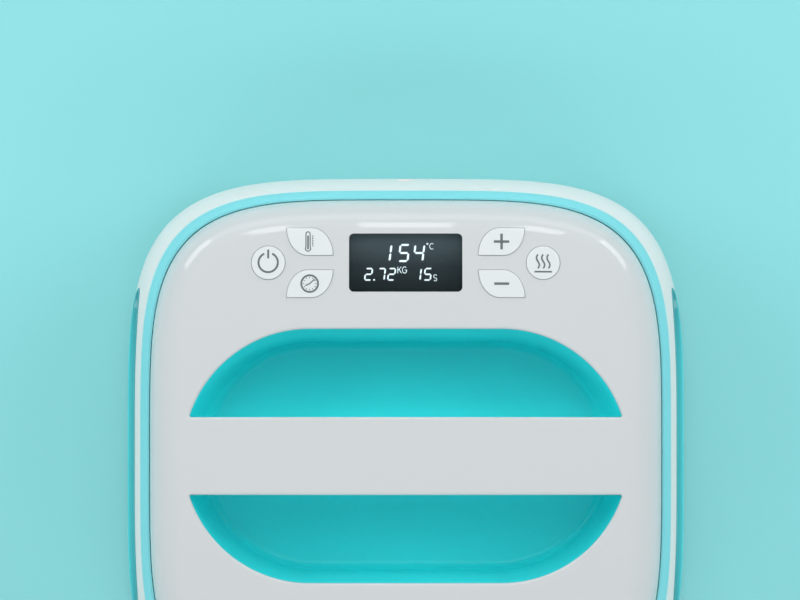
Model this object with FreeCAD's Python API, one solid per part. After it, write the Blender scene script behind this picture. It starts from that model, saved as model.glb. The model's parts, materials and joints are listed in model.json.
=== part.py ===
import FreeCAD, Part
import math
import os

# Handheld heat press: a square, round-cornered body with a bar handle across a deep well.
# Millimetres. Z is up, the pressing face lies on z = 0, and +Y is the display end.

V = FreeCAD.Vector
X_AXIS = V(1, 0, 0)
Y_AXIS = V(0, 1, 0)
Z_AXIS = V(0, 0, 1)

# Plan outline, a rounded square whose edges bow slightly
outline_power = 4.2
outline_points = 32
skirt_half = 136.0
skirt_rim_half = 126.3
skirt_foot_half = 131.8
shell_half = 120.8

# Walls and fits
shell_wall = 2.6
skirt_wall = 2.8
liner_wall = 2.4
grip_wall = 1.5
slip_gap = 0.15
edge_gap = 0.3
screw_gap = 0.05

# Heat plate
plate_size = 229.0
plate_corner = 30.0
plate_thick = 10.0
plate_edge_round = 2.0
plate_rib_width = 5.0
plate_rib_height = 5.0
plate_proud = 9.0
frame_gap = 0.8
frame_thick = 2.4
frame_recess = 1.6
frame_collar = 9.0

# Heating tube laid in runs across the plate
tube_radius = 3.3
tube_runs = 7
tube_pitch = 32.0
tube_run_half = 80.0
tube_lead_out = 8.0
tube_riser_bend = 8.0
tube_riser_height = 14.0
tube_cap_radius = 4.6
tube_cap_height = 7.0

# Parts on the plate
cutout_radius = 7.5
cutout_height = 8.0
fuse_radius = 2.0
fuse_length = 12.0
probe_radius = 2.3
probe_length = 20.0

# Insulation, heat shield and the four posts that carry the plate
pad_thick = 9.0
pad_margin = 7.0
shield_thick = 1.0
shield_size = 236.0
shield_flange = 7.0
post_x = 70.0
post_y = 80.0
post_radius = 4.5
post_boss_radius = 8.0
post_collar_radius = 8.5
post_collar_thick = 2.0
post_rise = 16.0
post_stud_radius = 2.0
post_stud_length = 8.0

# Force cells above the posts
cell_size = 32.0
cell_thick = 2.5
cell_corner = 4.0
cell_slot_width = 2.5
cell_button_radius = 5.0
cell_button_height = 2.0
holder_wall = 3.0
holder_height = 7.0

# Chassis plate and the ledge that it rests on
chassis_thick = 3.0
chassis_half = 119.5
ledge_half = 113.0
ledge_thick = 2.4
rib_depth = 5.0
rib_width = 2.4
skirt_over_chassis = 4.4
corner_screw = 92.0
ledge_screw = 98.6
shell_boss_radius = 4.5
board_post_radius = 3.2
power_board_lift = 5.0

# Skirt form
skirt_widest_rise = 17.0
skirt_bow = 1.5
skirt_sections = 7
frame_boss_radius = 4.2
frame_boss_height = 9.0
frame_boss_inset = 6.6
frame_boss_spread = 62.0

# Trim ring between skirt and shell
ring_height = 10.5
ring_lip = 0.8
ring_wall = 2.2
ring_upstand = 4.0
ring_downstand = 2.4
groove_gap = 0.4
shell_lap = 3.0
ring_bow = 1.7

# Finger grips in the left and right sides of the skirt
grip_length = 160.0
grip_height = 19.5
grip_end = 34.0
grip_depth = 15.0
grip_floor_round = 4.0
grip_lip = 0.5

# Handle, well and crown
finger_room = 33.0
bar_height = 25.0
bar_width = 35.3
bar_split = 12.0
bar_under_round = 8.0
bar_edge_round = 1.2
bar_wall = 2.4
bar_tail = 3.2
bar_tab_thick = 6.0
bar_tab_length = 8.6
well_corner_round = 0.8
crown_radius = 1100.0
shoulder_radius = 18.0
shell_draft = 6.2
well_radius = 57.6
well_straight = 87.2
well_taper = 5.0
well_floor_round = 4.5
well_set_back = 1.0
well_edge_round = 0.9
liner_flange = 6.5
stiffener_width = 20.0
stiffener_thick = 4.0
pillar_x = 108.0
pillar_y = 11.0
pillar_radius = 4.3

# Control row in front of the rear edge
row_y = 87.7
key_travel = 0.8
key_gap = 0.25
key_proud = 0.45
key_edge_round = 0.35
key_flange = 1.1
key_flange_thick = 1.2
key_flange_gap = 0.3
key_stem_radius = 2.4
round_key_radius = 7.8
round_key_x = 62.4
leaf_key_x = 43.5
leaf_key_y = 9.6
leaf_width = 21.4
leaf_height = 12.9
leaf_curve = 9.9
window_width = 51.4
window_height = 26.6
window_corner = 2.2
window_thick = 1.6
window_flange = 2.0
window_sink = 0.15

# Boards, switches and what stands on the boards
control_board_drop = 18.0
control_board_width = 166.0
control_board_depth = 35.0
board_thick = 1.6
board_corner = 4.0
board_screw_x = 79.0
board_screw_y = 13.2
switch_size = 6.0
switch_height = 3.5
switch_floor = 0.7
plunger_radius = 1.7
plunger_reach = 1.1
lcd_width = 54.0
lcd_height = 31.0
lcd_thick = 2.8
lcd_frame_wall = 1.5
lcd_window_gap = 0.6
buzzer_radius = 6.0
buzzer_height = 6.0
buzzer_x = 55.0
power_board_width = 112.0
power_board_depth = 38.0
ribbon_width = 20.0
ribbon_thick = 1.2
connector_height = 5.0
connector_depth = 6.0
connector_overhang = 4.0

# Mains cord gland in the rear wall
gland_bore = 3.7
gland_body = 6.4
gland_flat = 5.3
gland_flange_width = 20.0
gland_flange_height = 15.0
gland_flange_thick = 1.6
gland_inside = 9.0
gland_seat_wall = 3.0
gland_drop = 14.0

# Fasteners
screw_radius = 1.5
screw_head_radius = 2.8
screw_head_height = 1.9
screw_recess_radius = 1.2
screw_recess_depth = 1.0

# Heights that follow from the sizes above
rib_top = plate_thick + plate_rib_height
shield_z = rib_top + pad_thick
shield_top = shield_z + shield_thick
collar_top = shield_top + post_collar_thick
post_top = collar_top + post_rise
cell_z = post_top + cell_button_height
holder_z = cell_z + cell_thick
chassis_z = holder_z + holder_height
chassis_top = chassis_z + chassis_thick
ledge_z = chassis_z - ledge_thick
skirt_bottom = plate_proud
skirt_top = chassis_top + skirt_over_chassis
ring_top = skirt_top + ring_height
shell_base = ring_top - shell_lap
floor_top = chassis_top + liner_wall
bar_bottom = floor_top + finger_room
bar_seat = bar_bottom + bar_split
crown_top = bar_bottom + bar_height
control_board_top = crown_top - control_board_drop
switch_top = control_board_top + switch_height
plunger_top = switch_top + plunger_reach
power_board_top = chassis_top + power_board_lift + board_thick
frame_z = skirt_bottom + frame_recess
grip_z = ledge_z - edge_gap - grip_wall - grip_height / 2
gland_z = ledge_z - gland_drop
far_up = crown_top + 10.0
groove_half = shell_half + groove_gap
draft_slope = math.tan(math.radians(shell_draft))
upstand_half = shell_half - shell_wall - edge_gap - draft_slope * (shell_lap + ring_upstand)
bar_half = well_straight / 2 + well_radius + bar_tail
post_places = [(sx * post_x, sy * post_y) for sx in (-1, 1) for sy in (-1, 1)]
corner_places = [(sx * corner_screw, sy * corner_screw) for sx in (-1, 1) for sy in (-1, 1)]
ledge_places = [(sx * ledge_screw, sy * ledge_screw) for sx in (-1, 1) for sy in (-1, 1)]
pillar_places = [(sx * pillar_x, sy * pillar_y) for sx in (-1, 1) for sy in (-1, 1)]
board_places = [(sx * board_screw_x, row_y + sy * board_screw_y) for sx in (-1, 1) for sy in (-1, 1)]


def squircle(half, z):
    """Closed rounded-square outline of the body at height z."""
    points = []
    for i in range(outline_points):
        angle = 2 * math.pi * i / outline_points
        c, s = abs(math.cos(angle)), abs(math.sin(angle))
        reach = half / (c ** outline_power + s ** outline_power) ** (1 / outline_power)
        points.append(V(reach * math.cos(angle), reach * math.sin(angle), z))
    curve = Part.BSplineCurve()
    curve.interpolate(points, PeriodicFlag=True)
    return Part.Wire(curve.toShape())


def squircle_block(half, low, high):
    """Upright block with the body's outline."""
    return Part.Face(squircle(half, low)).extrude(V(0, 0, high - low))


def squircle_ring(outer, inner, low, high):
    """Upright wall between two outlines."""
    face = Part.Face([squircle(outer, low), squircle(inner, low)])
    face.validate()
    return face.extrude(V(0, 0, high - low))


def cylinder(radius, x, y, low, high):
    """Upright cylinder between two heights."""
    return Part.makeCylinder(radius, high - low, V(x, y, low), Z_AXIS)


def box(width, depth, x, y, low, high):
    """Upright box centred on x, y."""
    return Part.makeBox(width, depth, high - low, V(x - width / 2, y - depth / 2, low))


def rounded_box(width, depth, corner, x, y, low, high):
    """Upright box with round upright corners."""
    block = box(width, depth, x, y, low, high)
    upright = [e for e in block.Edges if abs(e.Vertexes[0].Z - e.Vertexes[-1].Z) > 1e-6]
    return block.makeFillet(corner, upright)


def stadium(radius, z):
    """Outline of the well: two straights joined by half circles."""
    half = well_straight / 2
    top = Part.LineSegment(V(half, radius, z), V(-half, radius, z)).toShape()
    left = Part.Arc(V(-half, radius, z), V(-half - radius, 0, z), V(-half, -radius, z)).toShape()
    low = Part.LineSegment(V(-half, -radius, z), V(half, -radius, z)).toShape()
    right = Part.Arc(V(half, -radius, z), V(half + radius, 0, z), V(half, radius, z)).toShape()
    return Part.Wire([top, left, low, right])


def stadium_block(radius, low, high):
    """Upright block with the well's outline."""
    return Part.Face(stadium(radius, low)).extrude(V(0, 0, high - low))


def join(first, *others):
    """One solid out of several that touch."""
    return first.fuse(list(others)).removeSplitter()


def mirror_x(shape):
    """The same piece on the other side of the body."""
    return shape.mirror(V(0, 0, 0), X_AXIS)


domes = {}


def dome(inset):
    """The top housing's outer form taken in by inset: drafted sides, a crown and a rolled shoulder."""
    key = round(inset, 4)
    if key not in domes:
        high = crown_top + 1.0
        half_low = shell_half - inset
        half_high = half_low - draft_slope * (high - shell_base)
        sides = Part.makeLoft([squircle(half_low, shell_base), squircle(half_high, high)], True, True)
        ball = Part.makeSphere(crown_radius - inset)
        ball.rotate(V(0, 0, 0), X_AXIS, 90)
        ball.translate(V(0, 0, crown_top - crown_radius))
        body = sides.common(ball)
        crown = [f for f in body.Faces if isinstance(f.Surface, Part.Sphere)][0]
        domes[key] = body.makeFillet(shoulder_radius - inset, crown.Edges)
    return domes[key]


rows = {}


def row_dome(inset):
    """The stretch of the dome over the control row, for what follows the housing's surface there."""
    key = round(inset, 4)
    if key not in rows:
        stretch = box(2 * round_key_x + 40.0, 60.0, 0, row_y, control_board_top, far_up)
        rows[key] = dome(inset).common(stretch)
    return rows[key]


def skirt_half_at(z):
    """Half width of the skirt's outside: widest low down, bowing in to the rim and the foot."""
    widest = skirt_bottom + skirt_widest_rise
    if z >= widest:
        share = (z - widest) / (skirt_top - widest)
        return skirt_half - (skirt_half - skirt_rim_half) * share ** skirt_bow
    share = (widest - z) / (widest - skirt_bottom)
    return skirt_half - (skirt_half - skirt_foot_half) * share ** 2


def skirt_form(inset):
    """Solid form of the skirt taken in by inset."""
    outlines = []
    for i in range(skirt_sections):
        z = skirt_bottom + (skirt_top - skirt_bottom) * i / (skirt_sections - 1)
        outlines.append(squircle(skirt_half_at(z) - inset, z))
    return Part.makeLoft(outlines, True, False)


def grip_block(grow, x_low, x_high, floor_round):
    """Block along X with the grip's long oval outline, round at its inner end."""
    half, end, tall = grip_length / 2 + grow, grip_end + grow, grip_height / 2 + grow
    flat = half - end
    edges = []
    for side in (1, -1):
        middle = V(x_low, side * flat, grip_z)
        bow = Part.Ellipse(V(x_low, side * (flat + end), grip_z), V(x_low, side * flat, grip_z + tall), middle)
        edges.append(Part.ArcOfEllipse(bow, -math.pi / 2, math.pi / 2).toShape())
    for up in (1, -1):
        edges.append(Part.LineSegment(V(x_low, -flat, grip_z + up * tall),
                                      V(x_low, flat, grip_z + up * tall)).toShape())
    outline = Part.Wire(Part.__sortEdges__(edges))
    block = Part.Face(outline).extrude(V(x_high - x_low, 0, 0))
    inner = [e for e in block.Edges if abs(e.BoundBox.XMax - x_low) < 1e-4]
    return block.makeFillet(floor_round, inner)


def screw(x, y, seat, length, up=True):
    """Pan-head screw with its head below seat, or above it when up is false."""
    sense = 1 if up else -1
    head = Part.makeCylinder(screw_head_radius, screw_head_height, V(x, y, seat), V(0, 0, -sense))
    top = V(x, y, seat - sense * screw_head_height)
    recess = Part.makeCylinder(screw_recess_radius, screw_recess_depth, top, V(0, 0, sense))
    shank = Part.makeCylinder(screw_radius, length, V(x, y, seat), V(0, 0, sense))
    return join(head, shank).cut(recess)


def group(shapes):
    """Several like solids in one node."""
    return Part.makeCompound(shapes)


# Heat plate and what is fixed to it

def tube_path():
    """Centre line of the heating tube: runs along X with half turns, and a riser at each end."""
    half_turn = tube_pitch / 2
    first_y = -tube_pitch * (tube_runs - 1) / 2
    z = plate_thick
    edges = []
    for run in range(tube_runs):
        y = first_y + run * tube_pitch
        sense = 1 if run % 2 == 0 else -1
        start, stop = V(-sense * tube_run_half, y, z), V(sense * tube_run_half, y, z)
        if run == 0:
            out = start - V(sense * tube_lead_out, 0, 0)
            edges += riser(out, -sense)
            start = out
        if run == tube_runs - 1:
            stop = stop + V(sense * tube_lead_out, 0, 0)
        edges.append(Part.LineSegment(start, stop).toShape())
        if run < tube_runs - 1:
            bulge = stop + V(sense * half_turn, half_turn, 0)
            edges.append(Part.Arc(stop, bulge, stop + V(0, tube_pitch, 0)).toShape())
        else:
            edges += riser(stop, sense)
    return Part.Wire(Part.__sortEdges__(edges))


def riser(foot, sense):
    """Quarter bend up from the end of a run, and the straight above it."""
    bend = tube_riser_bend
    lean = bend * (1 - math.cos(math.pi / 4))
    middle = foot + V(sense * bend * math.sin(math.pi / 4), 0, lean)
    top = foot + V(sense * bend, 0, bend)
    tip = top + V(0, 0, tube_riser_height)
    return [Part.Arc(foot, middle, top).toShape(), Part.LineSegment(top, tip).toShape()]


def riser_tips():
    """Upper ends of the two risers."""
    reach = tube_run_half + tube_lead_out + tube_riser_bend
    y = tube_pitch * (tube_runs - 1) / 2
    z = plate_thick + tube_riser_bend + tube_riser_height
    return [V(-reach, -y, z), V(reach, y, z)]


def tube_solid(radius):
    """The heating tube swept along its path."""
    path = tube_path()
    first = path.OrderedEdges[0]
    start = path.OrderedVertexes[0].Point
    heading = first.tangentAt(first.FirstParameter)
    ring = Part.Wire(Part.makeCircle(radius, start, heading))
    return path.makePipeShell([ring], True, False)


def heating_element():
    caps = []
    for tip in riser_tips():
        caps.append(cylinder(tube_cap_radius, tip.x, tip.y, tip.z - tube_cap_height / 2, tip.z + tube_cap_height))
    return join(tube_solid(tube_radius), *caps)


def heat_plate():
    slab = rounded_box(plate_size, plate_size, plate_corner, 0, 0, 0, plate_thick)
    rim = [e for e in slab.Edges if e.BoundBox.ZMax < 1e-4]
    slab = slab.makeFillet(plate_edge_round, rim)
    inset = plate_rib_width + plate_edge_round
    outer = rounded_box(plate_size - 2 * plate_edge_round, plate_size - 2 * plate_edge_round,
                        plate_corner - plate_edge_round, 0, 0, plate_thick, rib_top)
    inner = rounded_box(plate_size - 2 * inset, plate_size - 2 * inset, plate_corner - inset,
                        0, 0, plate_thick, rib_top)
    bosses = [cylinder(post_boss_radius, x, y, plate_thick, rib_top) for x, y in post_places]
    body = join(slab, outer.cut(inner), *bosses)
    hole = post_stud_radius + screw_gap
    holes = [cylinder(hole, x, y, rib_top - post_stud_length - 1, rib_top + 1) for x, y in post_places]
    return body.cut([tube_solid(tube_radius + slip_gap)] + holes)


def thermostat_cutout():
    y = -tube_pitch * (tube_runs - 1) / 2 + tube_pitch / 2
    can = cylinder(cutout_radius, 0, y, plate_thick, plate_thick + cutout_height)
    ears = rounded_box(cutout_radius * 3.4, cutout_radius, 3.0, 0, y, plate_thick, plate_thick + 1.2)
    tabs = [box(0.8, 5.0, side * 4.0, y, plate_thick + cutout_height, shield_z - 1.5) for side in (-1, 1)]
    return join(can, ears, *tabs)


def thermal_fuse():
    y = tube_pitch * (tube_runs - 1) / 2 - tube_pitch / 2
    z = plate_thick + fuse_radius
    body = Part.makeCylinder(fuse_radius, fuse_length, V(-fuse_length / 2, y, z), X_AXIS)
    lead = Part.makeCylinder(fuse_radius / 4, fuse_length * 2.4, V(-fuse_length * 1.2, y, z), X_AXIS)
    return join(body, lead)


def temperature_probe():
    y = tube_pitch / 2
    z = plate_thick + probe_radius
    body = Part.makeCylinder(probe_radius, probe_length, V(-probe_length / 2, y, z), X_AXIS)
    tip = Part.makeSphere(probe_radius, V(-probe_length / 2, y, z))
    return join(body, tip)


def plate_frame():
    opening = plate_size + 2 * frame_gap
    corner = plate_corner + frame_gap
    outer = skirt_half_at(frame_z) - skirt_wall - edge_gap
    flat = squircle_block(outer, frame_z, frame_z + frame_thick)
    collar = rounded_box(opening + 2 * frame_thick, opening + 2 * frame_thick, corner + frame_thick,
                         0, 0, frame_z, frame_z + frame_collar)
    hole = rounded_box(opening, opening, corner, 0, 0, frame_z - 1, frame_z + frame_collar + 1)
    holes = [cylinder(screw_radius + screw_gap, x, y, frame_z - 1, frame_z + frame_thick + 1)
             for x, y in frame_screw_places()]
    return join(flat, collar).cut([hole] + holes)


def frame_screw_places():
    """Eight screws round the plate, two to a side, over the bosses of the skirt."""
    reach = skirt_half_at(frame_z) - skirt_wall - frame_boss_inset
    spread = frame_boss_spread
    places = []
    for side in (-1, 1):
        for along in (-1, 1):
            places.append((side * reach, along * spread))
            places.append((along * spread, side * reach))
    return places


def insulation_pad():
    size = plate_size - 2 * pad_margin
    pad = rounded_box(size, size, plate_corner - pad_margin, 0, 0, rib_top, shield_z)
    cuts = [cylinder(post_radius + 1.0, x, y, rib_top - 1, shield_z + 1) for x, y in post_places]
    cuts += [cylinder(tube_cap_radius + 1.0, t.x, t.y, rib_top - 1, shield_z + 1) for t in riser_tips()]
    y = -tube_pitch * (tube_runs - 1) / 2 + tube_pitch / 2
    cuts.append(box(cutout_radius * 2 + 3, cutout_radius * 2 + 2, 0, y, rib_top - 1, shield_z + 1))
    return pad.cut(cuts)


def heat_shield():
    corner = plate_corner + (shield_size - plate_size) / 2
    pan = rounded_box(shield_size, shield_size, corner, 0, 0, shield_z, shield_top + shield_flange)
    hollow = rounded_box(shield_size - 2 * shield_thick, shield_size - 2 * shield_thick,
                         corner - shield_thick, 0, 0, shield_top, shield_top + shield_flange + 1)
    cuts = [cylinder(post_radius + slip_gap, x, y, shield_z - 1, shield_top + 1) for x, y in post_places]
    cuts += [cylinder(tube_cap_radius + 1.0, t.x, t.y, shield_z - 1, shield_top + 1) for t in riser_tips()]
    return pan.cut([hollow] + cuts)


# Posts and force cells

def plate_posts():
    posts = []
    for x, y in post_places:
        stem = cylinder(post_radius, x, y, rib_top, post_top)
        collar = cylinder(post_collar_radius, x, y, shield_top, collar_top)
        stud = cylinder(post_stud_radius, x, y, rib_top - post_stud_length, rib_top)
        posts.append(join(stem, collar, stud))
    return group(posts)


def load_cells():
    cells = []
    for x, y in post_places:
        plate = rounded_box(cell_size, cell_size, cell_corner, x, y, cell_z, holder_z)
        span = cell_size - 4 * cell_slot_width
        outer = box(span, span, x, y, cell_z - 1, holder_z + 1)
        inner = box(span - 2 * cell_slot_width, span, x, y - cell_slot_width, cell_z - 1, holder_z + 1)
        button = cylinder(cell_button_radius, x, y, post_top, cell_z)
        cells.append(join(plate.cut(outer.cut(inner)), button))
    return group(cells)


def load_cell_holders():
    holders = []
    for x, y in post_places:
        block = rounded_box(cell_size, cell_size, cell_corner, x, y, holder_z, chassis_z)
        inside = cell_size - 2 * holder_wall
        hollow = box(inside, inside, x, y, holder_z - 1, chassis_z + 1)
        holders.append(block.cut(hollow))
    return group(holders)


# Chassis, skirt and ring

def chassis_plate():
    plate = squircle_block(chassis_half, chassis_z, chassis_top)
    low = chassis_z - rib_depth
    clear = post_y - cell_size / 2 - rib_width
    ribs = [box(2 * (ledge_half - 6), rib_width, 0, side * clear, low, chassis_z) for side in (-1, 1)]
    ribs += [box(rib_width, 2 * (ledge_half - 6), side * (post_x - cell_size / 2 - rib_width), 0, low, chassis_z)
             for side in (-1, 1)]
    posts = [cylinder(board_post_radius, x, y, chassis_top, chassis_top + power_board_lift)
             for x, y in power_board_places()]
    posts += [cylinder(shell_boss_radius, x, y, chassis_top, shell_base) for x, y in corner_places]
    body = join(plate, *ribs, *posts)
    hole = screw_radius + screw_gap
    holes = [cylinder(hole, x, y, chassis_z - 1, shell_base + 1)
             for x, y in corner_places + ledge_places + pillar_places]
    holes += [cylinder(hole, x, y, chassis_z + 1, chassis_top + power_board_lift + 1)
              for x, y in power_board_places()]
    wire_slot = box(24.0, 8.0, 0, power_board_y() + power_board_depth / 2 + 5.0, low - 1, chassis_top + 1)
    return body.cut(holes + [wire_slot])


def power_board_y():
    """Centre of the power board, in the bay behind the well."""
    front = well_radius + liner_wall + 8.0
    return front + power_board_depth / 2


def power_board_places():
    half_x = power_board_width / 2 - 5.0
    half_y = power_board_depth / 2 - 5.0
    return [(sx * half_x, power_board_y() + sy * half_y) for sx in (-1, 1) for sy in (-1, 1)]


def gland_outline(grow, y_low, y_high):
    """Round body with flats above and below, along Y."""
    radius, flat = gland_body + grow, gland_flat + grow
    barrel = Part.makeCylinder(radius, y_high - y_low, V(0, y_low, gland_z), Y_AXIS)
    slab = Part.makeBox(2 * radius, y_high - y_low, 2 * flat, V(-radius, y_low, gland_z - flat))
    return barrel.common(slab)


def gland_seat_y():
    """The gland's flange is sunk until its upper edge is level with the sloping wall."""
    return skirt_half_at(gland_z + gland_flange_height / 2 + edge_gap) - gland_flange_thick


def gland_flange_block(grow, y_low, y_high):
    """Round-cornered block along Y for the gland's flange and its recess."""
    width, tall = gland_flange_width + 2 * grow, gland_flange_height + 2 * grow
    block = Part.makeBox(width, y_high - y_low, tall, V(-width / 2, y_low, gland_z - tall / 2))
    return block.makeFillet(3.0 + grow, [e for e in block.Edges if e.BoundBox.YLength > y_high - y_low - 1e-4])


def lower_housing():
    """The skirt: the outer form less a hollow that leaves the ledge and the bosses standing."""
    low, high = frame_z + frame_thick, frame_z + frame_thick + frame_boss_height
    seat = gland_seat_y()
    kept = [squircle_ring(skirt_half + 5, ledge_half, ledge_z, chassis_z)]
    kept.append(gland_flange_block(gland_seat_wall, seat - gland_seat_wall, skirt_half + 5))
    for x, y in frame_screw_places():
        kept.append(cylinder(frame_boss_radius, x, y, low, high))
        reach = frame_boss_inset + 2 * skirt_wall
        shift = math.copysign(reach / 2, x if abs(x) > abs(y) else y)
        if abs(x) > abs(y):
            kept.append(box(reach, frame_boss_radius, x + shift, y, low, high))
        else:
            kept.append(box(frame_boss_radius, reach, x, y + shift, low, high))
    hollow = skirt_form(skirt_wall).cut(kept)
    body = skirt_form(0.0).cut(hollow)
    hole = screw_radius + screw_gap
    cuts = [cylinder(hole, x, y, low - 1, high - 1.5) for x, y in frame_screw_places()]
    cuts += [cylinder(hole, x, y, ledge_z - 1, chassis_z + 1) for x, y in ledge_places]
    mouth = grip_block(grip_wall + slip_gap, skirt_half - grip_depth - grip_wall - 1, skirt_half + 5,
                       grip_floor_round)
    cuts += [mouth, mirror_x(mouth)]
    cuts.append(gland_outline(slip_gap, seat - 20, skirt_half + 5))
    cuts.append(gland_flange_block(edge_gap, seat, skirt_half + 5))
    return body.cut(cuts)


def grip_liner():
    floor_x = skirt_half - grip_depth
    outer = grip_block(grip_wall, floor_x - grip_wall, skirt_half + 3, grip_floor_round + grip_wall)
    inner = grip_block(0.0, floor_x, skirt_half + 6, grip_floor_round)
    return outer.common(skirt_form(-grip_lip)).cut(inner)


def closed_ring(profile):
    """Solid ring whose section runs through (half, z) corners; a list of corners is joined by one smooth face."""
    faces = []
    stops = [step[-1] if isinstance(step, list) else step for step in profile]
    for i, step in enumerate(profile):
        before = stops[i - 1]
        if isinstance(step, list):
            sections = [squircle(half, z) for half, z in [before] + step]
            faces += Part.makeLoft(sections, False, False).Faces
        elif step[1] == before[1]:
            wide, narrow = max(step[0], before[0]), min(step[0], before[0])
            flat = Part.Face([squircle(wide, step[1]), squircle(narrow, step[1])])
            flat.validate()
            faces.append(flat)
        else:
            faces += Part.makeLoft([squircle(*before), squircle(*step)], False, True).Faces
    skin = Part.makeShell(faces)
    skin.sewShape()
    solid = Part.makeSolid(skin)
    solid.fix(1e-6, 1e-6, 1e-6)
    return solid


def trim_ring():
    """Sloping collar with a groove for the shell's edge, an upstand behind it and a downstand below."""
    top_half = groove_half + ring_lip
    slope = []
    for i in range(1, 4):
        half = skirt_rim_half - (skirt_rim_half - top_half) * (i / 3) ** ring_bow
        slope.append((half, skirt_top + ring_height * i / 3))
    inner_half = upstand_half - ring_wall
    down_half = skirt_rim_half - skirt_wall - edge_gap
    down_z = skirt_top - ring_downstand
    return closed_ring([
        (skirt_rim_half, skirt_top),
        slope,
        (groove_half, ring_top),
        (groove_half, shell_base),
        (upstand_half, shell_base),
        (upstand_half, ring_top + ring_upstand),
        (inner_half, ring_top + ring_upstand),
        (inner_half, skirt_top),
        (down_half - ring_wall, skirt_top),
        (down_half - ring_wall, down_z),
        (down_half, down_z),
        (down_half, skirt_top),
    ])


# Top housing, well and handle

def leaf_outline(sense, grow, z):
    """Leaf-shaped key outline: two sharp corners on one diagonal and two swept ones."""
    wide, tall = leaf_width / 2 + grow, leaf_height / 2 + grow
    curve = leaf_curve + grow
    sweep = 2 * tall
    edges = []
    for turn in (1, -1):
        corner = V(turn * sense * (wide - curve), -turn * tall, z)
        side = corner + V(turn * sense * curve, 0, 0)
        middle = corner + V(turn * sense * curve * math.cos(math.pi / 4), turn * sweep * math.sin(math.pi / 4), 0)
        top = corner + V(0, turn * sweep, 0)
        edges.append(quarter_bow(corner, side, middle, top))
        edges.append(Part.LineSegment(top, V(-turn * sense * wide, turn * tall, z)).toShape())
    return Part.Wire(Part.__sortEdges__(edges))


def quarter_bow(centre, side, middle, top):
    """Quarter of an ellipse round centre, from side through middle to top."""
    curve = Part.BSplineCurve()
    weight = math.sqrt(0.5)
    corner = side + top - centre
    curve.buildFromPolesMultsKnots([side, corner, top], [3, 3], [0, 1], False, 2, [1, weight, 1])
    return curve.toShape()


def leaf_block(x, y, sense, grow, low, high):
    block = Part.Face(leaf_outline(sense, grow, low)).extrude(V(0, 0, high - low))
    block.translate(V(x, y, 0))
    return block


# Each key: name, place, and its outline as a block grown by some amount
key_specs = [
    ("power_key", -round_key_x, 0.0, 0),
    ("temperature_key", -leaf_key_x, leaf_key_y, 1),
    ("timer_key", -leaf_key_x, -leaf_key_y, -1),
    ("plus_key", leaf_key_x, leaf_key_y, -1),
    ("minus_key", leaf_key_x, -leaf_key_y, 1),
    ("mode_key", round_key_x, 0.0, 0),
]


def key_block(spec, grow, low, high):
    """A key's outline, grown, between two heights. Sense 0 is a round key."""
    name, x, up, sense = spec
    if sense == 0:
        return cylinder(round_key_radius + grow, x, row_y + up, low, high)
    return leaf_block(x, row_y + up, sense, grow, low, high)


def key_cap(spec):
    """A key that follows the housing's surface, with a flange that catches under it and a stem."""
    name, x, up, sense = spec
    y = row_y + up
    flange_in = shell_wall + key_flange_gap
    under = row_dome(flange_in + key_flange_thick)
    cap = key_block(spec, -key_gap, switch_top, far_up).common(row_dome(-key_proud))
    top_edges = [e for e in cap.Edges if e.BoundBox.ZMin > crown_top - control_board_drop / 2]
    cap = cap.makeFillet(key_edge_round, top_edges).cut(under)
    flange = key_block(spec, key_flange, switch_top, far_up).common(row_dome(flange_in)).cut(under)
    stem_top = crown_at(math.hypot(x, y)) - flange_in - key_flange_thick / 2
    return join(cap, flange, cylinder(key_stem_radius, x, y, plunger_top, stem_top))


def plunger(spec):
    name, x, up, sense = spec
    low = control_board_top + switch_floor + key_travel + edge_gap
    return cylinder(plunger_radius, x, row_y + up, low, plunger_top)


def tact_switches():
    switches = []
    for name, x, up, sense in key_specs:
        y = row_y + up
        case = box(switch_size, switch_size, x, y, control_board_top, switch_top)
        hole = cylinder(plunger_radius + screw_gap, x, y, control_board_top + switch_floor, switch_top + 1)
        switches.append(case.cut(hole))
    return group(switches)


def finger_openings():
    """The two D-shaped openings beside the bar, their corners just broken."""
    bar = box(2 * bar_half, bar_width, 0, 0, 0, far_up + 1)
    halves = stadium_block(well_radius, shell_base - 1, far_up).cut(bar)
    corners = [e for e in halves.Edges if e.BoundBox.ZLength > 10 and abs(abs(e.BoundBox.YMax) - bar_width / 2) < 0.01]
    return halves.makeFillet(well_corner_round, corners)


def top_shell():
    """The glossy housing with the bar across its well: outer form less a hollow that leaves the bosses."""
    body = dome(0.0).cut(finger_openings())
    crown = [f for f in body.Faces if isinstance(f.Surface, Part.Sphere)][0]
    rim = [e for w in crown.Wires if not w.isSame(crown.OuterWire) for e in w.Edges]
    body = body.makeFillet(well_edge_round, rim)
    kept = [cylinder(shell_boss_radius, x, y, shell_base, far_up) for x, y in corner_places]
    kept += [cylinder(board_post_radius, x, y, control_board_top, far_up) for x, y in board_places]
    bar = box(2 * bar_half, bar_width, 0, 0, bar_seat, far_up)
    kept.append(bar.cut(box(2 * bar_half + 2, bar_width - 2 * bar_wall, 0, 0, bar_seat - 1, far_up)))
    body = body.cut(dome(shell_wall).cut(kept))
    hole = screw_radius + screw_gap
    cuts = [cylinder(hole, x, y, shell_base - 1, shell_base + 12) for x, y in corner_places]
    cuts += [cylinder(hole, x, y, control_board_top - 1, control_board_top + 8) for x, y in board_places]
    cuts += [key_block(s, 0.0, switch_top, far_up) for s in key_specs]
    cuts.append(window_block(0.0, switch_top, far_up))
    return body.cut(cuts)


def crown_at(reach):
    """Height of the crown at a distance from the middle."""
    return crown_top - crown_radius + math.sqrt(crown_radius ** 2 - reach ** 2)


def window_block(grow, low, high):
    return rounded_box(window_width + 2 * grow, window_height + 2 * grow, window_corner + max(grow, -1.5),
                       0, row_y, low, high)


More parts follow.
